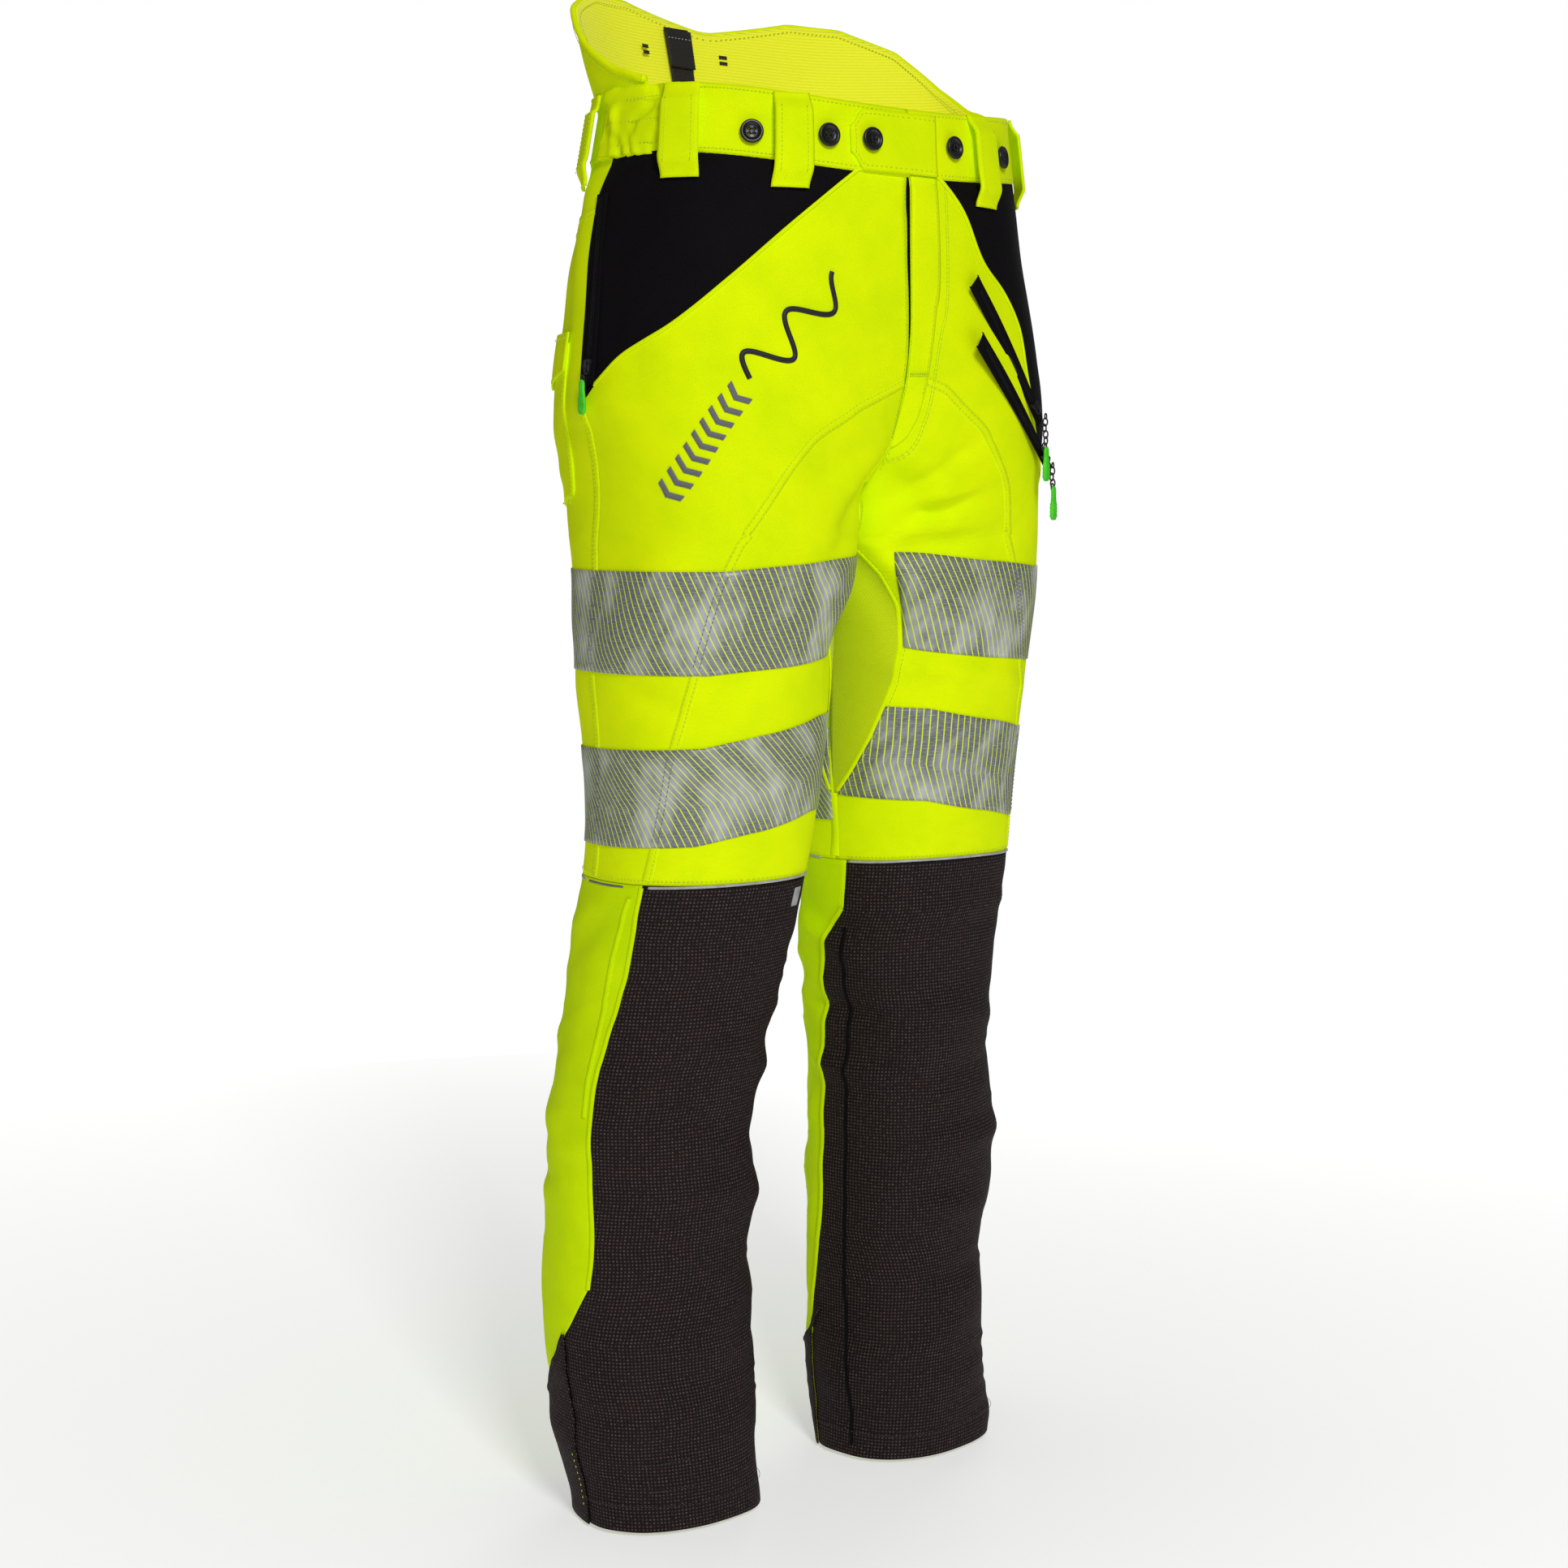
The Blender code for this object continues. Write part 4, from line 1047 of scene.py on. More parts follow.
def shins(left):
    """Charcoal front and cuff, and the yellow calf, whose stretch cloth is painted a darker, greener yellow as
    shade.
    """
    outer = lambda z: line(SHIN_OUTER, z)
    inner = lambda z: line(SHIN_INNER, z)
    sewn("@_shin_cloth", (inner, outer), (KNEE_SEAM_Z + 0.002, HEM_Z), CHARCOAL, "ripstop_charcoal",
         "@_shin_front", "@_calf_cloth", left=left, inner=INNER, thick=0.0014)
    sewn("@_calf_cloth", (outer, lambda z: 1.0 + inner(z)), (KNEE_SEAM_Z + 0.004, HEM_Z), CALF_YELLOW_PAINTED_SHADE,
         "hi_vis_yellow", "@_calf @_knee_fold", "@_shin_cloth", left=left, inner=INNER)
    sewn("@_cuff_cloth", (CUFF_TOP[0][0], lambda z: 1.0 + inner(z) + 0.002),
         (lambda w: line(CUFF_TOP, w), HEM_Z - 0.0008), CHARCOAL, "ripstop_charcoal", "", "@_calf_cloth",
         lift=0.0018, thick=0.0012, left=left)


def seams(left):
    """Felled seams with their double stitching, the hem and the cuff."""
    curve = round_path(THIGH_SEAM[left])
    side = 0.5085
    side_seam = ((side, HIP_TIP[left]), (side, -0.330), (side, THIGH_HEM_Z + 0.002))
    for name, path in (("thigh", curve), ("side", side_seam)):
        strip("@_" + name + "_seam", path, left=left)
        stitches("@_" + name + "_seam_stitches", [path], left, 0.0005, offsets=TWIN)
    side_line = ((side, -0.330), (side, -0.450), (side, -0.590))
    for number, (high, low) in enumerate(((-0.3545, -0.4265), (-0.4925, -0.5615)), 1):
        rows = [[(w, z) for w, z in resample(path, 0.004) if low < z < high] for path in (curve, side_line)]
        stitches("@_tape_seam_stitches_%d" % number, rows, left, 0.0013, offsets=TWIN, paint=GREY_THREAD)
    strip("@_pocket_edge", [(w, z) for z, w in POCKET_EDGE[left] if w < 0.50], welt(0.0030, 0.0007), left=left,
          lift=0.0006)
    yoke = ((0.999, -0.112), (0.90, -0.108), (0.74, -0.098), (0.60, -0.086), (0.512, -0.078))
    strip("@_seat_yoke_seam", yoke, left=left)
    stitches("@_seat_yoke_stitches", [yoke], left, 0.0006, offsets=(-0.0022, 0.0022))
    # the calf's seams take the calf's colour, painted shade included
    calf = dict(paint=CALF_YELLOW_PAINTED_SHADE, left=left, lift=0.0002)
    strip("@_knee_pleat", ((0.424, -0.604), (0.432, -0.640), (0.436, -0.700), (0.428, -0.780)),
          welt(0.0040, 0.0010), **calf)
    strip("@_inseam", ((0.9995, -0.345), (0.9995, -0.470), (0.9995, -0.590)), left=left)
    strip("@_calf_inner_seam", [(1.0 + w - 0.004, z) for z, w in SHIN_INNER if -1.03 < z < -0.6],
          welt(0.0050, 0.0010), **calf)
    strip("@_calf_outer_seam", [(w + 0.001, z) for z, w in SHIN_OUTER if z > -0.93], welt(0.0040, 0.0010), **calf)
    strip("@_cuff_top_fold", CUFF_TOP, welt(0.0036, 0.0010), CHARCOAL, "ripstop_charcoal", left, 0.0016)
    hem = [(w, HEM_Z + 0.021) for w in np.linspace(-0.07, 0.91, 40)]
    stitches("@_hem_stitches", [hem], left, 0.0016, (0.0040, 0.0026, 0.0007), paint=DARK_THREAD)
    stitches("@_cuff_side_stitches", [((0.475, -1.058), (0.475, -1.080), (0.475, -1.100))], left, 0.0022,
             (0.0050, 0.0018, 0.0008))
    if left:
        strip("@_shin_inner_seam", ((0.014, -0.652), (0.012, -0.800), (0.010, -1.000), (0.008, -1.105)),
              welt(0.0030, 0.0012), BLACK, "ripstop_charcoal", True)
    piping(left)


def piping(left):
    """Silver piping in the seam above the knee, in three runs, the side one painted darker as shade, and its row of
    stitches.
    """
    z = THIGH_HEM_Z - 0.0015
    start = 0.020 if left else 0.050
    for word, first, last, paint, raised in (("front", start, 0.392, PIPING, 0.0003),
                                             ("side", 0.440, 0.520, PIPING_PAINTED_SHADE, -0.0004),
                                             ("back", 0.535, 0.975, PIPING, -0.0004)):
        path = [(w, z + 0.0015 * math.sin(9.0 * w)) for w in np.linspace(first, last, 14)]
        strip("@_knee_piping_" + word, path, ring(0.0011, raised, 8), paint, "reflective_silver", left,
              closed=True)
    path = [(w, z + 0.0048) for w in np.linspace(start, 0.97, 40)]
    stitches("@_knee_seam_stitches", [path], left, 0.0005)


def gusset(left):
    """Stretch mesh let in under the crotch and down the inside of the thigh."""
    front = [(z, w) for w, z in round_path([(w, z) for z, w in GUSSET_EDGE])]
    back = [(z, 1.0 - w * (0.92 - 0.50 * float(smooth(-0.34, -0.46, z)))) for z, w in front]
    levels = (-0.296, -0.537)
    mesh = dict(lift=0.0009, thick=0.0008, left=left)
    sewn("@_gusset_front", (0.0006, lambda z: line(front, z) + 0.001), levels, GUSSET, "gusset_mesh",
         "" if left else "crotch_gusset", "@_front_cloth", **mesh)
    sewn("@_gusset_back", (lambda z: line(back, z) - 0.001, 0.9994), levels, GUSSET, "gusset_mesh", "",
         "@_seat_cloth", **mesh)
    edge, back_edge = ([(w, z) for z, w in points[1:]] for points in (front, back))
    strip("@_gusset_seam", edge, welt(0.0040, 0.0006), left=left, lift=0.0008)
    stitches("@_gusset_stitches", [edge], left, 0.0008, offsets=(0.0042,))
    strip("@_gusset_back_seam", back_edge, welt(0.0040, 0.0006), left=left, lift=0.0008)


def pads(left):
    """The saw-protection pads inside, quilted in rows."""
    for word, reach, levels in (("thigh", (0.060, 0.460), (-0.357, -0.583)),
                                ("shin", (0.040, 0.370), (-0.630, -1.060))):
        def lift(s, t, w, z):
            rows = np.abs(np.sin(math.pi * (z - levels[1]) / QUILT_ROW)) ** 0.5
            rim = np.clip(np.minimum(np.minimum(s, 1 - s) * 26, np.minimum(t, 1 - t) * 30), 0, 1) ** 0.5
            return -0.0030 - 0.0012 * (1 - rows * rim)
        name = SIDE[left] + "_" + word + "_pad"
        made = panel(name + "_quilt", reach, levels, PAD, lift=lift, thick=0.0, cell=0.006, left=left)
        close_pad(made, levels[1])
        finishes(made, "pad_fibre", name)


def close_pad(obj, foot):
    """Give the pad its quilted back face and close it round the rim."""
    bm = bmesh.new()
    bm.from_mesh(obj.data)
    bm.normal_update()
    edge = {v for v in bm.verts if v.is_boundary}
    back = {}
    for v in list(bm.verts):
        row = abs(math.sin(math.pi * (v.co.z - foot) / QUILT_ROW)) ** 0.5
        deep = 0.0006 if v in edge else 0.0018 + 0.0030 * row
        back[v] = bm.verts.new(v.co - v.normal * deep)
    layer = bm.loops.layers.uv.get("cloth")
    weight = bm.verts.layers.float.get("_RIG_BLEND")
    for v, b in back.items():
        if weight is not None:
            b[weight] = v[weight]
    for face in list(bm.faces):
        copy = bm.faces.new([back[v] for v in reversed(face.verts)])
        copy.smooth = True
        for loop, twin in zip(copy.loops, reversed(list(face.loops))):
            loop[layer].uv = twin[layer].uv
    for e in [e for e in bm.edges if e.is_boundary and e.verts[0] in back and e.verts[1] in back]:
        a, b = e.verts
        wall = bm.faces.new((b, a, back[a], back[b]))
        wall.smooth = True
    bmesh.ops.recalc_face_normals(bm, faces=bm.faces)
    bm.to_mesh(obj.data)
    bm.free()


# ---------------------------------------------------------------- waist
def band_lift(s, t, w, z):
    """A folded cloth edge: the lift falls away over the outer few per cent."""
    return 0.0016 * (0.35 + 0.65 * smooth(0.0, 0.06, t) * smooth(1.0, 0.94, t))


def band_rows(name, first, last, count, left):
    """The two rows of stitches along a waistband's edges."""
    for number, depth in enumerate((0.0035, 0.0485), 1):
        path = [(w, float(waist_top(w)) - depth) for w in np.linspace(first, last, count)]
        stitches(name % number, [path], left, 0.0018)


def waist():
    """The waistband: two smooth fronts, gathered elastic at the sides, and the back half."""
    levels = (waist_top, waist_bottom)
    for left in (False, True):
        sewn("@_waistband_front", (0.0006, 0.379), levels, YELLOW, "hi_vis_yellow", "@_front_waistband",
             "@_front_cloth", lift=band_lift, thick=0.0032, left=left, inner=RIBBED, cell=0.003)
        band_rows("@_waistband_stitches_%d", 0.01, 0.375, 24, left)

        def ruffle(s, t, w, z):
            x = w * ROUND
            gather = noise(x / 0.0085 + 1.1 * np.sin(t * 5.0 + w * 30.0), t * 2.2, 21 + left)
            coarse = noise(x / 0.024, t * 1.6 + 3.0, 27 + left)
            rows = 1.0 - 0.55 * np.exp(-((np.mod(t * 3.0, 1.0) - 0.5) / 0.12) ** 2)
            ends = smooth(0.0, 0.06, s) * smooth(1.0, 0.94, s)
            return 0.0024 + (0.0036 * gather * rows + 0.0022 * coarse) * ends
        sewn("@_elastic_gather", (0.376, 0.562), levels, YELLOW, "hi_vis_yellow", "@_side_elastic",
             "@_seat_cloth", "gathered", lift=ruffle, thick=0.0040, left=left, inner=RIBBED, cell=0.0022)
        rows = [[(w, float(waist_top(w)) - BAND_DEPTH * f) for w in np.linspace(0.382, 0.556, 16)]
                for f in (0.1667, 0.5, 0.8333)]
        stitches("@_elastic_stitches", rows, left, 0.0026, (0.0042, 0.0030, 0.0007))
    sewn("waistband_back", (0.560, 1.440), levels, YELLOW, "hi_vis_yellow", "back_waistband",
         "right_seat_cloth left_seat_cloth", lift=band_lift, thick=0.0032, inner=RIBBED, body="pelvis")
    band_rows("back_waistband_stitches_%d", 0.57, 1.43, 60, False)


def high_back():
    """The raised back: outer cloth, ribbed lining, a bound edge, and the strap inside."""
    for name, drop, paint, slot, node, rests, inward, thick in (
            ("cloth", 0.0015, YELLOW, "hi_vis_yellow", "high_back", "waistband_back", 0.0, 0.0014),
            ("ribs", 0.0025, RIBBED, "lining_mesh", "high_back_lining", "high_back_cloth", 0.0022, 0.0012)):
        belly = lambda s, t, w, z: 0.0010 + 0.0016 * np.sin(w * 23.0) * np.sin(np.pi * t) - inward
        sewn("high_back_" + name, (0.450, 1.550), (lambda w: back_top(w) - drop, lambda w: waist_top(w) - 0.002),
             paint, slot, node, rests, lift=belly, thick=thick, body="pelvis")
    rim = [(w, float(back_top(w)) - 0.0022) for w in np.linspace(0.452, 1.548, 90)]
    strip("high_back_rim", rim, ring(0.0026, 0.0004, 10, 0.95), PALE_YELLOW, closed=True, body="pelvis")
    low = [(w, float(back_top(w)) - 0.0075) for w in np.linspace(0.47, 1.53, 90)]
    stitches("high_back_edge_stitches", [low], False, 0.0028)
    stitches("high_back_inner_stitches", [low], False, -0.0040)
    tacks = [[(w - 0.0035, z), (w + 0.0035, z)] for w in (STRAP_W - 0.058, STRAP_W + 0.058)
             for z in (0.0640, 0.0655, 0.0690, 0.0705)]
    stitches("high_back_bar_tacks", tacks, False, -0.0046, (0.0018, 0.0030, 0.0016), paint=BLACK_THREAD)
    for name, z_top, z_low, lift, half, node in (
            ("back_strap_long", 0.088, 0.000, -0.0046, 0.0180, "back_strap"),
            ("back_strap_fold", 0.086, 0.055, -0.0066, 0.0195, "")):
        sewn(name, (STRAP_W - half, STRAP_W + half), (z_top, z_low), WEBBING, "webbing_black", node,
             "high_back_ribs", "hung", lift=lift, thick=0.0014, cell=0.0025, body="pelvis")
    stitches("back_strap_stitches", [[(STRAP_W - 0.016, 0.079), (STRAP_W + 0.016, 0.079)]], False, -0.0084,
             (0.0026, 0.0020, 0.0008), paint=PALE_THREAD)


def belt_loops():
    """Loops sewn at both ends and standing off between them, with turned edges and bar tacks."""
    spots = ((0.180, 0.003), (0.372, 0.008), (0.610, 0.0), (1.390, 0.0), (1.635, 0.0), (1.872, 0.004))
    half_width, sewn_lift, bow = 0.0145, 0.0032, 0.0072

    def lift(s, t, w, z):
        turned = 0.0010 * smooth(0.0, 0.08, s) * smooth(1.0, 0.92, s)
        return sewn_lift + bow * smooth(0.0, 0.22, t) * smooth(1.0, 0.78, t) + turned
    for number, (centre, lean) in enumerate(spots, 1):
        step = np.linalg.norm(surface(centre + 0.01, -0.03) - surface(centre - 0.01, -0.03))
        half = half_width * 0.02 / step
        top, low = float(waist_top(centre)) - 0.0005, float(waist_bottom(centre)) - 0.0195
        middle = lambda z: centre + lean * (z - top) / 0.05
        name = "loop_%d" % number
        sewn(name + "_cloth", (lambda z: middle(z) - half, lambda z: middle(z) + half), (top, low), YELLOW,
             "hi_vis_yellow", "belt_" + name, "waistband_back" if 0.5 < centre < 1.5 else "right_waistband_front",
             lift=lift, thick=0.0020, cell=0.0022, body="pelvis")
        rows = [[(middle(z) + sign * half * 0.66, z) for z in np.linspace(top - 0.012, low + 0.012, 16)]
                for sign in (-1, 1)]
        stitches(name + "_stitches", rows, False, sewn_lift + bow + 0.0011, (0.0032, 0.0022, 0.0006))
        tack = [[(middle(z) - half * 0.8, z), (middle(z) + half * 0.8, z)]
                for z in (top - 0.0045, top - 0.0062, low + 0.0045, low + 0.0062)]
        stitches(name + "_tacks", tack, False, 0.0050, (0.0016, 0.0016, 0.0010))


def tab():
    """The waistband's end, lapped over to the wearer's right with a chamfered tip."""
    tip, root, inset = 0.087, -0.035, 0.0035
    chamfer = lambda w: smooth(tip - 0.022, tip, w) * 0.013
    upper = lambda w: -0.004 - chamfer(w)
    lower = lambda w: -0.050 + chamfer(w)
    sewn("waist_tab_cloth", (root, tip), (upper, lower), YELLOW, "hi_vis_yellow", "waist_tab",
         "right_waistband_front", lift=0.0040, thick=0.0022, cell=0.0025, body="pelvis")
    across = np.linspace(root + 0.004, tip - 0.007, 20)
    top = [(w, float(upper(w)) - inset) for w in across]
    low = [(w, float(lower(w)) + inset) for w in across[::-1]]
    stitches("waist_tab_stitches", [top, [top[-1], low[0]], low], False, 0.0043, (0.0032, 0.0022, 0.0006))


def fly():
    """The placket beside the fly, with its curved line of stitching, and the centre seams below and behind."""
    placket = ((-0.050, 0.036), (-0.200, 0.032), (-0.236, 0.030), (-0.250, 0.022), (-0.258, 0.005))
    sewn("fly_placket", (0.0004, lambda z: line(placket, z)), (-0.050, -0.2575), YELLOW, "hi_vis_yellow", "",
         "left_front_cloth", lift=0.0014, thick=0.0012, cell=0.003, left=True)
    curve = ((0.051, -0.054), (0.046, -0.120), (0.042, -0.200), (0.043, -0.238), (0.038, -0.256), (0.024, -0.265),
             (0.004, -0.269))
    stitches("fly_stitches", [curve], True, 0.0005, offsets=(-0.0011, 0.0011))
    stitches("fly_edge_stitches", [((0.0315, -0.056), (0.0300, -0.140), (0.0275, -0.215))], True, 0.0018)
    inside = dict(thick=0.0006, cell=0.003, body="pelvis")
    sewn("fly_backing", (-0.008, 0.008), (-0.046, -0.206), BLACK, "stretch_black", "fly_shield",
         "right_front_cloth", lift=-0.0020, **inside)
    for left, top, foot in ((False, -0.058, -0.262), (True, -0.262, -0.275)):
        stitches("@_centre_stitches", [[(0.006, z) for z in np.linspace(top, foot, 12)]], left, 0.0006)
    strip("centre_front_seam", ((0.0008, -0.250), (0.0008, -0.262), (0.0008, -0.285)), welt(0.004, 0.0012))
    sewn("centre_back_inner_tape", (0.993, 1.007), (-0.052, -0.262), INNER, "hi_vis_yellow", "",
         "right_seat_cloth", lift=-0.0030, **inside)
    back = ((0.9995, -0.056), (0.9995, -0.150), (0.9995, -0.262))
    strip("centre_back_seam", back, welt(0.008, 0.0012))
    stitches("centre_back_stitches", [back], False, 0.0014, offsets=(-0.0026, 0.0026))
    tack = [[(0.004, z), (0.028, z)] for z in (-0.200, -0.2018)]
    stitches("fly_bar_tack", tack, True, 0.0022, (0.0016, 0.0016, 0.0011))


def back_pocket():
    """Patch pocket on the right seat with a flap; both come to a shallow point below."""
    point = lambda z, rise: lambda w: z + rise * np.abs(w - 0.68) / 0.12
    sewn("back_pocket_cloth", (0.560, 0.800), (-0.178, point(-0.305, 0.010)), YELLOW, "hi_vis_yellow",
         "right_back_pocket", "right_seat_cloth", lift=0.0018, thick=0.0016, body="pelvis")
    sewn("back_pocket_flap", (0.556, 0.804), (-0.170, point(-0.212, 0.012)), YELLOW, "hi_vis_yellow", "",
         "back_pocket_cloth", lift=lambda s, t, w, z: 0.0036 + 0.0008 * t, thick=0.0014, body="pelvis")
    rim = ((0.564, -0.182), (0.564, -0.300), (0.680, -0.3015), (0.796, -0.300), (0.796, -0.182))
    stitches("back_pocket_stitches", list(zip(rim, rim[1:])), False, 0.0026)
    low = (((0.560, -0.174), (0.800, -0.174)), ((0.560, -0.199), (0.68, -0.208)), ((0.68, -0.208), (0.800, -0.199)))
    stitches("back_pocket_flap_stitches", low, False, 0.0045)


# ---------------------------------------------------------------- hardware
def place_frame(w, z, lift):
    """Origin on the draped cloth, local Z out of it and local Y up."""
    w = w % 2.0
    points, out = cloth(np.array([w if w <= 1.0 else 2.0 - w]), np.array([z]), lift, w > 1.0)
    out = Vector(out[0])
    up = (UP - out * out.z).normalized()
    return frame_at(Vector(points[0]), up.cross(out), up, out)


def frame_at(origin, x, y, z):
    """The transform that puts local X, Y and Z along the three given directions."""
    return Matrix.Translation(origin) @ Matrix((tuple(x), tuple(y), tuple(z))).transposed().to_4x4()


def circle(count, start=0.0):
    """Cosines and sines of count angles evenly round a circle."""
    return [(math.cos(a), math.sin(a)) for a in np.linspace(0, 2 * math.pi, count + 1)[:-1] + start]


def skin(bm, rows):
    """Quads between closed rows of vertices; the faces over the two ends are returned."""
    for a, b in zip(rows, rows[1:]):
        for k in range(len(a)):
            n = (k + 1) % len(a)
            bm.faces.new((a[k], a[n], b[n], b[k]))
    return [bm.faces.new(row) for row in (rows[0], rows[-1])]


def built(name, bm, material=None, spot=None):
    """A new object from a bmesh, its faces turned outward, put in its place."""
    bmesh.ops.recalc_face_normals(bm, faces=bm.faces)
    if spot is not None:
        bmesh.ops.transform(bm, matrix=spot, verts=bm.verts)
    mesh = bpy.data.meshes.new(name)
    bm.to_mesh(mesh)
    bm.free()
    if material is not None:
        mesh.materials.append(material)
    return added(name, mesh)


BUTTON_HOLES = [(0.0026 * x, 0.0026 * y) for x, y in circle(4, math.pi / 4)]


def button_mesh():
    """A dished, four-hole button, turned in 48 steps, with its holes cut through."""
    radius, high = 0.009, 0.0042
    # distance from the centre and height, as shares of the radius and of the height
    profile = ((0.46, 0.58), (0.60, 0.64), (0.68, 0.84), (0.74, 0.96), (0.80, 1.0), (0.88, 1.0), (0.94, 0.94),
               (0.985, 0.80), (1.0, 0.62), (0.97, 0.36), (0.86, 0.14), (0.70, 0.0))
    bm = bmesh.new()
    rows = [[bm.verts.new((r * radius * x, r * radius * y, h * high)) for x, y in circle(48)] for r, h in profile]
    bmesh.ops.poke(bm, faces=skin(bm, rows))
    blank = built("button_blank", bm)
    cutters = bmesh.new()
    for x, y in BUTTON_HOLES:
        bmesh.ops.create_cone(cutters, cap_ends=True, segments=14, radius1=0.0010, radius2=0.0010, depth=0.02,
                              matrix=Matrix.Translation((x, y, 0.002)))
    cutter = built("button_holes", cutters)
    blank.modifiers.new("holes", "BOOLEAN").object = cutter
    made = bpy.data.meshes.new_from_object(blank.evaluated_get(bpy.context.evaluated_depsgraph_get()))
    bpy.data.objects.remove(blank)
    bpy.data.objects.remove(cutter)
    made.shade_smooth()
    made.materials.clear()
    made.materials.append(BUTTON)
    return made


def thread_cross(name, spot, body):
    """Black thread through the four holes: arched bars along the sides of the square they make."""
    parts = []
    for a, b in ((0, 1), (2, 3), (0, 3), (1, 2)):
        start, end = (Vector(BUTTON_HOLES[k] + (0.0027,)) for k in (a, b))
        run = end - start
        side = run.cross(UP).normalized() * 0.00035
        points = []
        for t in np.linspace(0.0, 1.0, 6):
            middle = start + run * t + Vector((0, 0, 0.0005 * math.sin(math.pi * t)))
            points += [tuple(spot @ (middle + side * x + Vector((0, 0, 0.00035 * y)))) for x, y in circle(6)]
        parts.append((points, grid_faces(6, 6, True)))
    made = make_object(name, *joined(parts), BLACK_THREAD)
    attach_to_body(made, body)
    finishes(made, "button_plastic")


def buttons():
    """Four brace buttons in front, the waist button, and two on the high back, which share one mesh."""
    shared = button_mesh()
    for name, w, z, lift in (("brace_button_1", 0.121, -0.026, 0.0022), ("brace_button_2", 0.242, -0.026, 0.0022),
                             ("brace_button_3", 1.933, -0.026, 0.0022), ("brace_button_4", 1.800, -0.026, 0.0022),
                             ("waist_button", 0.058, -0.027, 0.0045), ("back_button_1", 0.905, 0.055, 0.0032),
                             ("back_button_2", 1.095, 0.055, 0.0032)):
        made = added(name + "_turned", shared)
        made.matrix_world = place_frame(w, z, lift)
        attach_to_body(made, "pelvis")
        finishes(made, "button_plastic", name)
        thread_cross(name + "_thread", place_frame(w, z, lift), "pelvis")


def zip_tape(name, half, end, taper, bow):
    """The tape on the straight line of a zip, in its own plane; taper and bow shape it along its length."""
    centre, run, out, reach, deep = ZIPS[name]
    side = np.cross(out, run)
    at = np.linspace(-reach, reach + end, 60)
    along = (at + reach) / (2 * reach)
    widths = half * (1.0 - taper + taper * smooth(0.0, 0.85, along))
    profile = np.array(((-1.0, -0.0016), (-0.94, 0.0), (0.0, 0.0002), (0.94, 0.0), (1.0, -0.0016)))
    bowed = bow * np.sin(math.pi * np.clip(along, 0.0, 1.0)) * (1.0 if side[2] > 0.0 else -1.0)
    base = centre + out * (deep + 0.0002) + side * bowed[:, None]
    points = (base + run * at[:, None])[:, None] + side * (profile[None, :, :1] * widths[:, None, None]) \
        + out * profile[None, :, 1:]
    uv = np.stack(np.broadcast_arrays(profile[None, :, 0] * half, at[:, None]), -1).reshape(-1, 2)
    made = make_object(name + "_tape", points.reshape(-1, 3), grid_faces(60, 5), BLACK, uv)
    made.data.update()
    if np.array(made.data.polygons[len(made.data.polygons) // 2].normal) @ out < 0.0:
        made.data.flip_normals()
    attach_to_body(made, "pelvis")
    finishes(made, "zip_coil", name + "_zip")


def zip_teeth(name):
    """The coil: small slanted bars either side of the line."""
    centre, run, out, reach, deep = ZIPS[name]
    side = np.cross(out, run)
    at = np.arange(-reach + 0.004, reach - 0.004, 0.0014)
    parts = []
    for sign in (-1.0, 1.0):
        spots = centre + run * at[:, None] + side * sign * 0.0011 + out * (deep + 0.0007)
        lean = unit(side + run * 0.35 * sign)
        parts.append(dashes(spots, *(np.broadcast_to(v, spots.shape) for v in (out, run, lean)), 0.0026, 0.0011))
    points, faces = joined(parts)
    made = make_object(name + "_teeth", points, faces, COIL, points[:, :2])
    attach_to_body(made, "pelvis")
    finishes(made, "zip_coil")


def zips():
    """Tape and coil of each straight zip, and the sliders and pulls; the fly's stay as in the CAD."""
    for name in ZIPS:
        zip_tape(name, *((0.0078, 0.006, 0.38, 0.0026) if "vent" in name else (0.0060, 0.0, 0.0, 0.0)))
        zip_teeth(name)
    for name in ZIPS:
        slider(name)
    for name, paint in (("fly_slider", METAL), ("fly_zip", COIL)):
        for part in frame["nodes"][name].material_slots:
            part.material = paint
    for name in ZIPS:
        pull(name)


def slider(name):
    """A zip slider: a body with a waist, and an arched bridge over it."""
    node = name + "_slider"
    centre, run, out, reach, deep = ZIPS[name]
    co = np.array([v.co for v in frame["nodes"][node].data.vertices])
    at = np.dot((co.min(0) + co.max(0)) / 2.0 - centre, run)
    spot = frame_at(Vector(centre + run * at + out * (deep + 0.0007)), np.cross(out, run), run, out)
    bm = bmesh.new()
    half = ((0.0022, -0.0060), (0.0030, -0.0035), (0.0030, 0.0010), (0.0042, 0.0045), (0.0036, 0.0060),
            (0.0008, 0.0056))
    outline = half + tuple((-x, y) for x, y in half[::-1])
    skin(bm, [[bm.verts.new((x, y, 0.0)) for x, y in outline],
              [bm.verts.new((x * 0.92, y * 0.95, 0.0026)) for x, y in outline]])
    rows = []
    for k, y in enumerate(np.linspace(-0.0042, 0.0038, 9)):
        low = 0.0026 + 0.0016 * math.sin(math.pi * k / 8.0)
        rows.append([bm.verts.new((x, y, z)) for x, z in ((-0.0011, low), (0.0011, low), (0.0011, low + 0.0007),
                                                          (-0.0011, low + 0.0007))])
    skin(bm, rows)
    made = built(node + "_body", bm, METAL, spot)
    edge = made.modifiers.new("edges", "BEVEL")
    edge.width = 0.0004
    edge.segments = 2
    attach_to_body(made, node)
    finishes(made, "zip_metal", node)


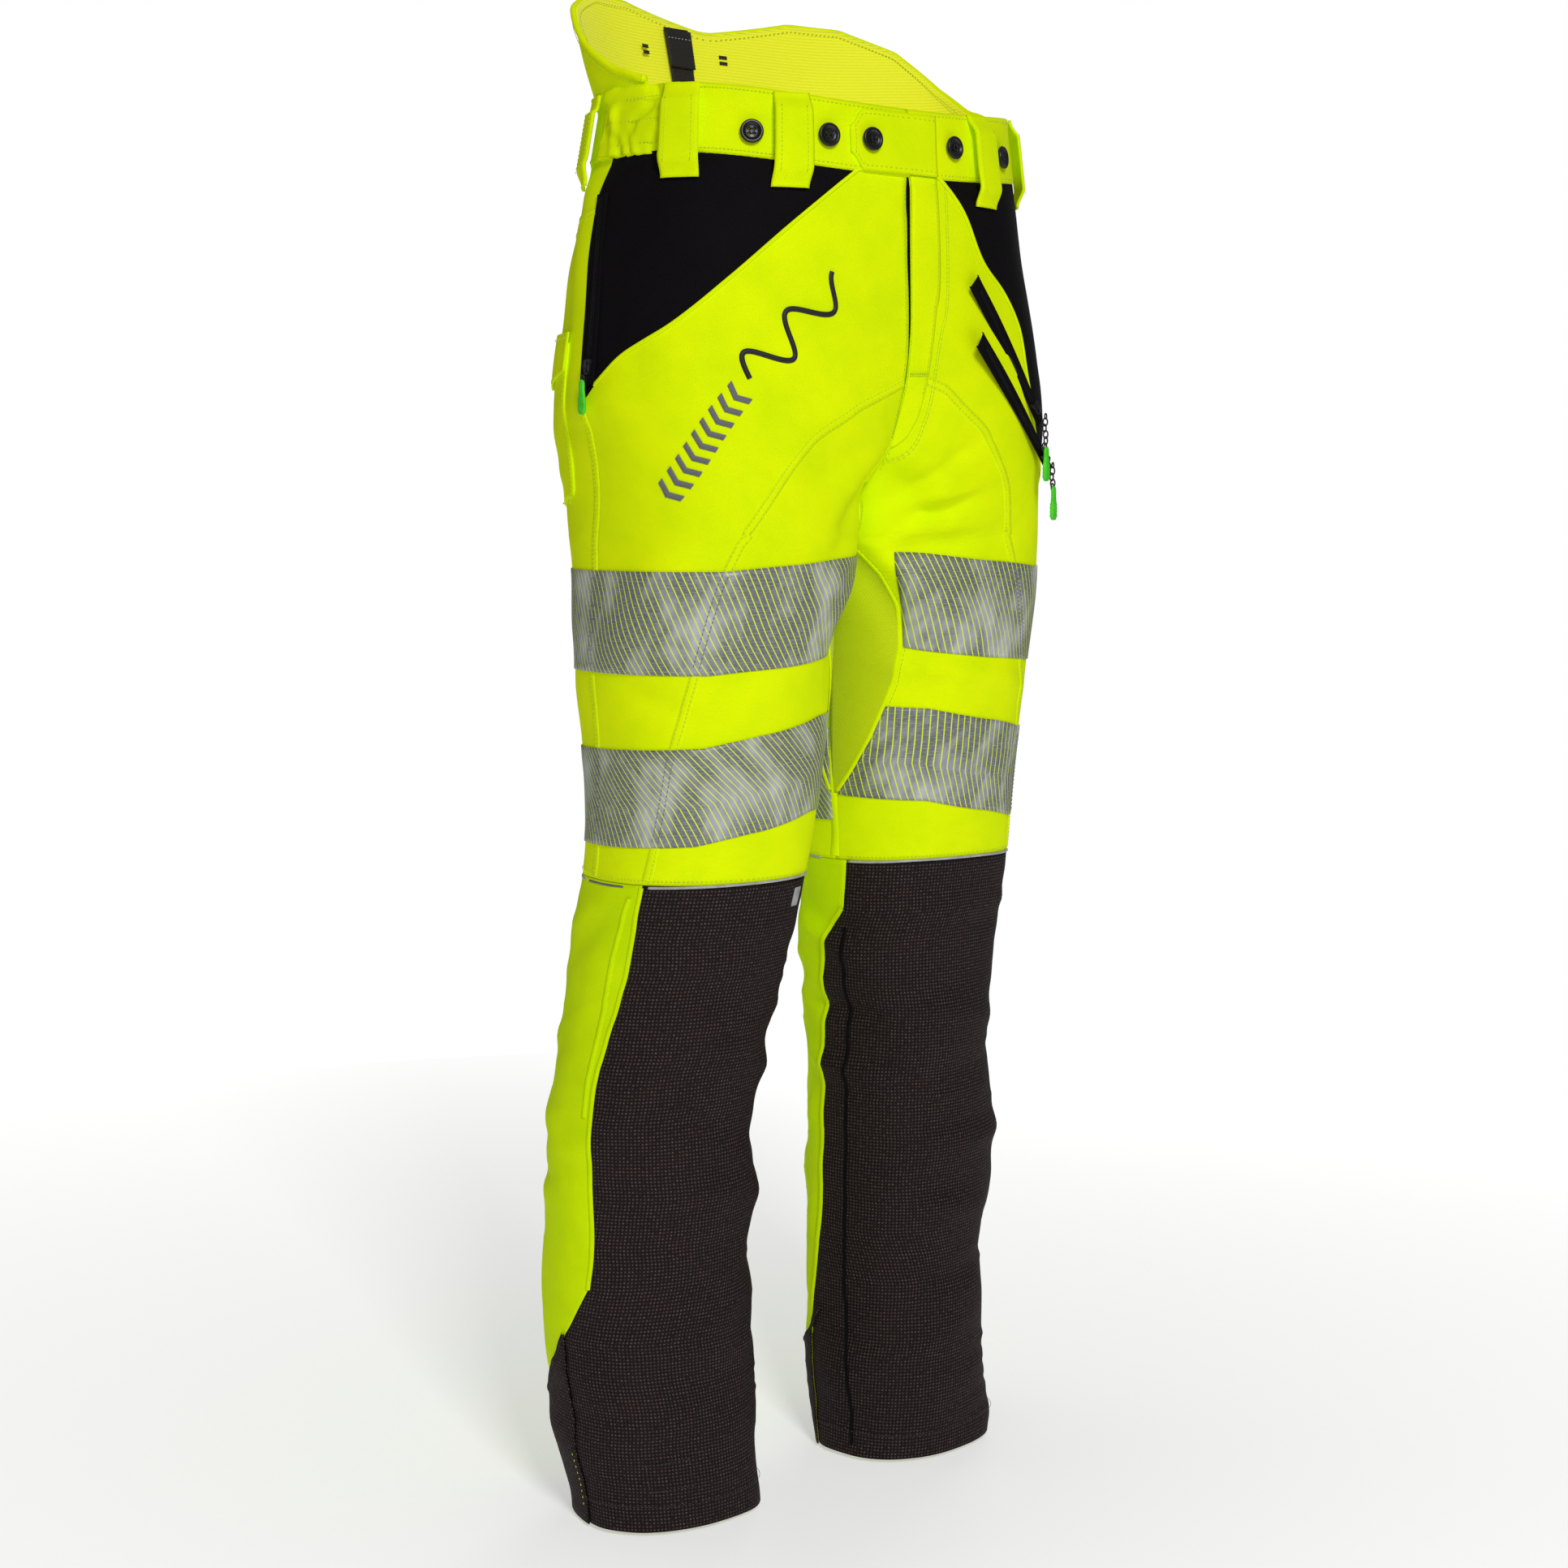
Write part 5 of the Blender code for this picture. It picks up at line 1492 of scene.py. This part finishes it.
# height up the grip, half width and half depth, all as shares of the whole
GRIP = np.array(((0.00, 0.40, 0.55), (0.03, 0.72, 0.85), (0.10, 0.96, 1.0), (0.30, 1.0, 1.0), (0.45, 0.90, 1.0),
                 (0.55, 0.74, 0.95), (0.70, 0.62, 0.9), (0.84, 0.66, 0.9), (0.93, 0.60, 0.8), (0.985, 0.38, 0.6),
                 (1.0, 0.15, 0.4)))


def pull(name):
    """A moulded green grip with a waist and ridges; on the vents it hangs by a black cord and ring."""
    node = name + "_pull"
    joint = [j for j in frame["joints"] if j["name"] == node + "_swing"][0]
    face = Vector(joint["axis"]).normalized().cross(UP).normalized()
    if face.dot(Vector(ZIPS[name][2])) < 0.0:
        face = -face
    spot = frame_at(Vector(joint["pos_m"]), UP.cross(face), UP, face)
    local = np.array([spot.inverted() @ v.co for v in frame["nodes"][node].data.vertices])
    tall = 0.0262 if name == "pocket" else 0.028
    bottom, mid = local[:, 1].min(), (local[:, 2].max() + local[:, 2].min()) / 2.0
    top, proud = bottom + tall, 0.0013
    fine = np.linspace(0, 1, 41)
    width = np.interp(fine, GRIP[:, 0], GRIP[:, 1]) * 0.0046
    ridge = 0.00045 * (np.sin(fine * 2 * math.pi * 9) > 0.2) * (fine > 0.08) * (fine < 0.5)
    depth = np.interp(fine, GRIP[:, 0], GRIP[:, 2]) * 0.0016 + ridge
    bm = bmesh.new()
    skin(bm, [[bm.verts.new((wide * math.copysign(abs(x) ** 0.6, x), bottom + tall * f,
                             mid + proud + thick * math.copysign(abs(y) ** 0.7, y))) for x, y in circle(20)]
              for f, wide, thick in zip(fine, width, depth)])
    made = built(node + "_grip", bm, GREEN, spot)
    made.data.shade_smooth()
    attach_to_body(made, node)
    finishes(made, "pull_rubber", node)

    def hoop(x, y, z, wide, high, deep=0.0):
        return [(x + wide * c, y + high * s, z + deep * c) for c, s in circle(16)]
    links = [hoop(0.0, -0.0012, mid + 0.0003, 0.0016, 0.0022)]
    if name == "pocket":
        links.append(hoop(0.0, top - 0.0004, mid, 0.0016, 0.0030))
    else:
        y, wide, deep = -0.0034, 0.0017 * 0.35, 0.0017
        while y - 0.0056 > top - 0.004:
            links.append(hoop(0.0014 * math.sin(y * 900.0), y - 0.0024, mid, wide, 0.0033, deep))
            y -= 0.0050
            wide, deep = deep, wide
        links.append(hoop(0.0, top - 0.001, mid, 0.0020, 0.0030))
    closed_cords(node + "_links", links, 0.00062, spot, METAL if name == "pocket" else BLACK_THREAD, node)


def closed_cords(name, loops, radius, spot, material, body):
    """Round-section rings as one object."""
    parts = []
    for loop in loops:
        loop = np.array(loop)
        run = unit(np.roll(loop, -1, 0) - np.roll(loop, 1, 0))
        third = unit(np.cross(run, unit(loop - loop.mean(0))))
        outward = np.cross(third, run)
        turn = np.array(circle(8)) * radius
        tube = loop[:, None] + outward[:, None] * turn[None, :, :1] + third[:, None] * turn[None, :, 1:]
        n, m = len(loop), len(turn)
        i, j = np.meshgrid(np.arange(n), np.arange(m), indexing="ij")
        quad = np.stack((i * m + j, i * m + (j + 1) % m, (i + 1) % n * m + (j + 1) % m, (i + 1) % n * m + j), -1)
        parts.append((tube.reshape(-1, 3), quad.reshape(-1, 4)))
    points, faces = joined(parts)
    points = np.array([tuple(spot @ Vector(p)) for p in points])
    made = make_object(name, points, faces, material, points[:, :2])
    close_tube(made, False)
    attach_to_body(made, body)
    finishes(made, "pull_rubber")


# ---------------------------------------------------------------- small marks
def row_frame(first, last):
    """Start in metres, run, upward direction across it and length of a straight row from first to last."""
    metres = np.array((ROUND, 1.0))
    first, last = np.array(first) * metres, np.array(last) * metres
    length = np.linalg.norm(last - first)
    run = (last - first) / length
    across = np.array((run[1], -run[0]))
    return first, run, across if across[1] >= 0 else -across, length, metres


def embroidery():
    """A generic embroidered motif along the front of the right thigh: grey bars, then a black wave."""
    first, run, across, length, metres = row_frame((0.405, -0.297), (0.245, -0.216))
    bars, tall, stitches_in_bar, half_bar = 9, 0.0185, 21, 0.0030
    segments = []
    for k in range(bars):
        for f in np.linspace(0.0, 1.0, stitches_in_bar):
            middle = (k + 0.5) / bars * length + (abs(f - 0.5) - 0.25) * 0.010
            segments.append([(first + run * (middle + end) + across * (tall * (f - 0.5))) / metres
                             for end in (-half_bar, half_bar)])
    satin("motif_bars", segments, GREY_THREAD)
    first, run, across, length, metres = row_frame((0.232, -0.208), (0.088, -0.134))
    wave = [(first + run * length * t + across * 0.016 * math.sin(t * 4.4 * math.pi) * (1.0 - 0.35 * t)) / metres
            for t in np.linspace(0, 1, 90)]
    strip("motif_wave", wave, ((-0.0021, 0.0), (-0.0013, 0.0010), (0.0, 0.0013), (0.0013, 0.0010), (0.0021, 0.0)),
          BLACK_THREAD, "webbing_black", lift=0.0003, step=0.0015)


def satin(name, segments, material):
    """Many short satin stitches side by side."""
    parts = []
    for segment in segments:
        path = np.array(segment)
        points, out = cloth(path[:, 0], path[:, 1], 0.0004)
        run = points[1] - points[0]
        size = np.linalg.norm(run)
        run /= size
        side = unit(np.cross(out[0], run))
        parts.append(dashes(points.mean(0)[None], out[:1], side[None], run[None], size, 0.00125))
    points, faces = joined(parts)
    made = make_object(name, points, faces, material, points[:, (0, 2)])
    attach(made, False)
    finishes(made, "webbing_black")


def labels():
    """A blank woven label at the knee and a stitched blank patch at the hem."""
    sewn("knee_label_blank", (0.122, 0.146), (-0.6020, -0.6170), PIPING, "reflective_silver", lift=0.0008,
         thick=0.0006, cell=0.002)
    corners = ((0.255, -1.058), (0.325, -1.060), (0.322, -1.082), (0.253, -1.080), (0.255, -1.058))
    stitches("hem_patch_stitches", list(zip(corners, corners[1:])), False, 0.0004, (0.0034, 0.0026, 0.0008),
             paint=DARK_THREAD)


camera()
studio()
for LEFT in (False, True):
    for make in (body_cloth, bands, shins, seams, gusset, pads):
        make(LEFT)
for make in (waist, high_back, belt_loops, tab, fly, back_pocket, buttons, zips, embroidery, labels):
    make()

bpy.context.view_layer.update()
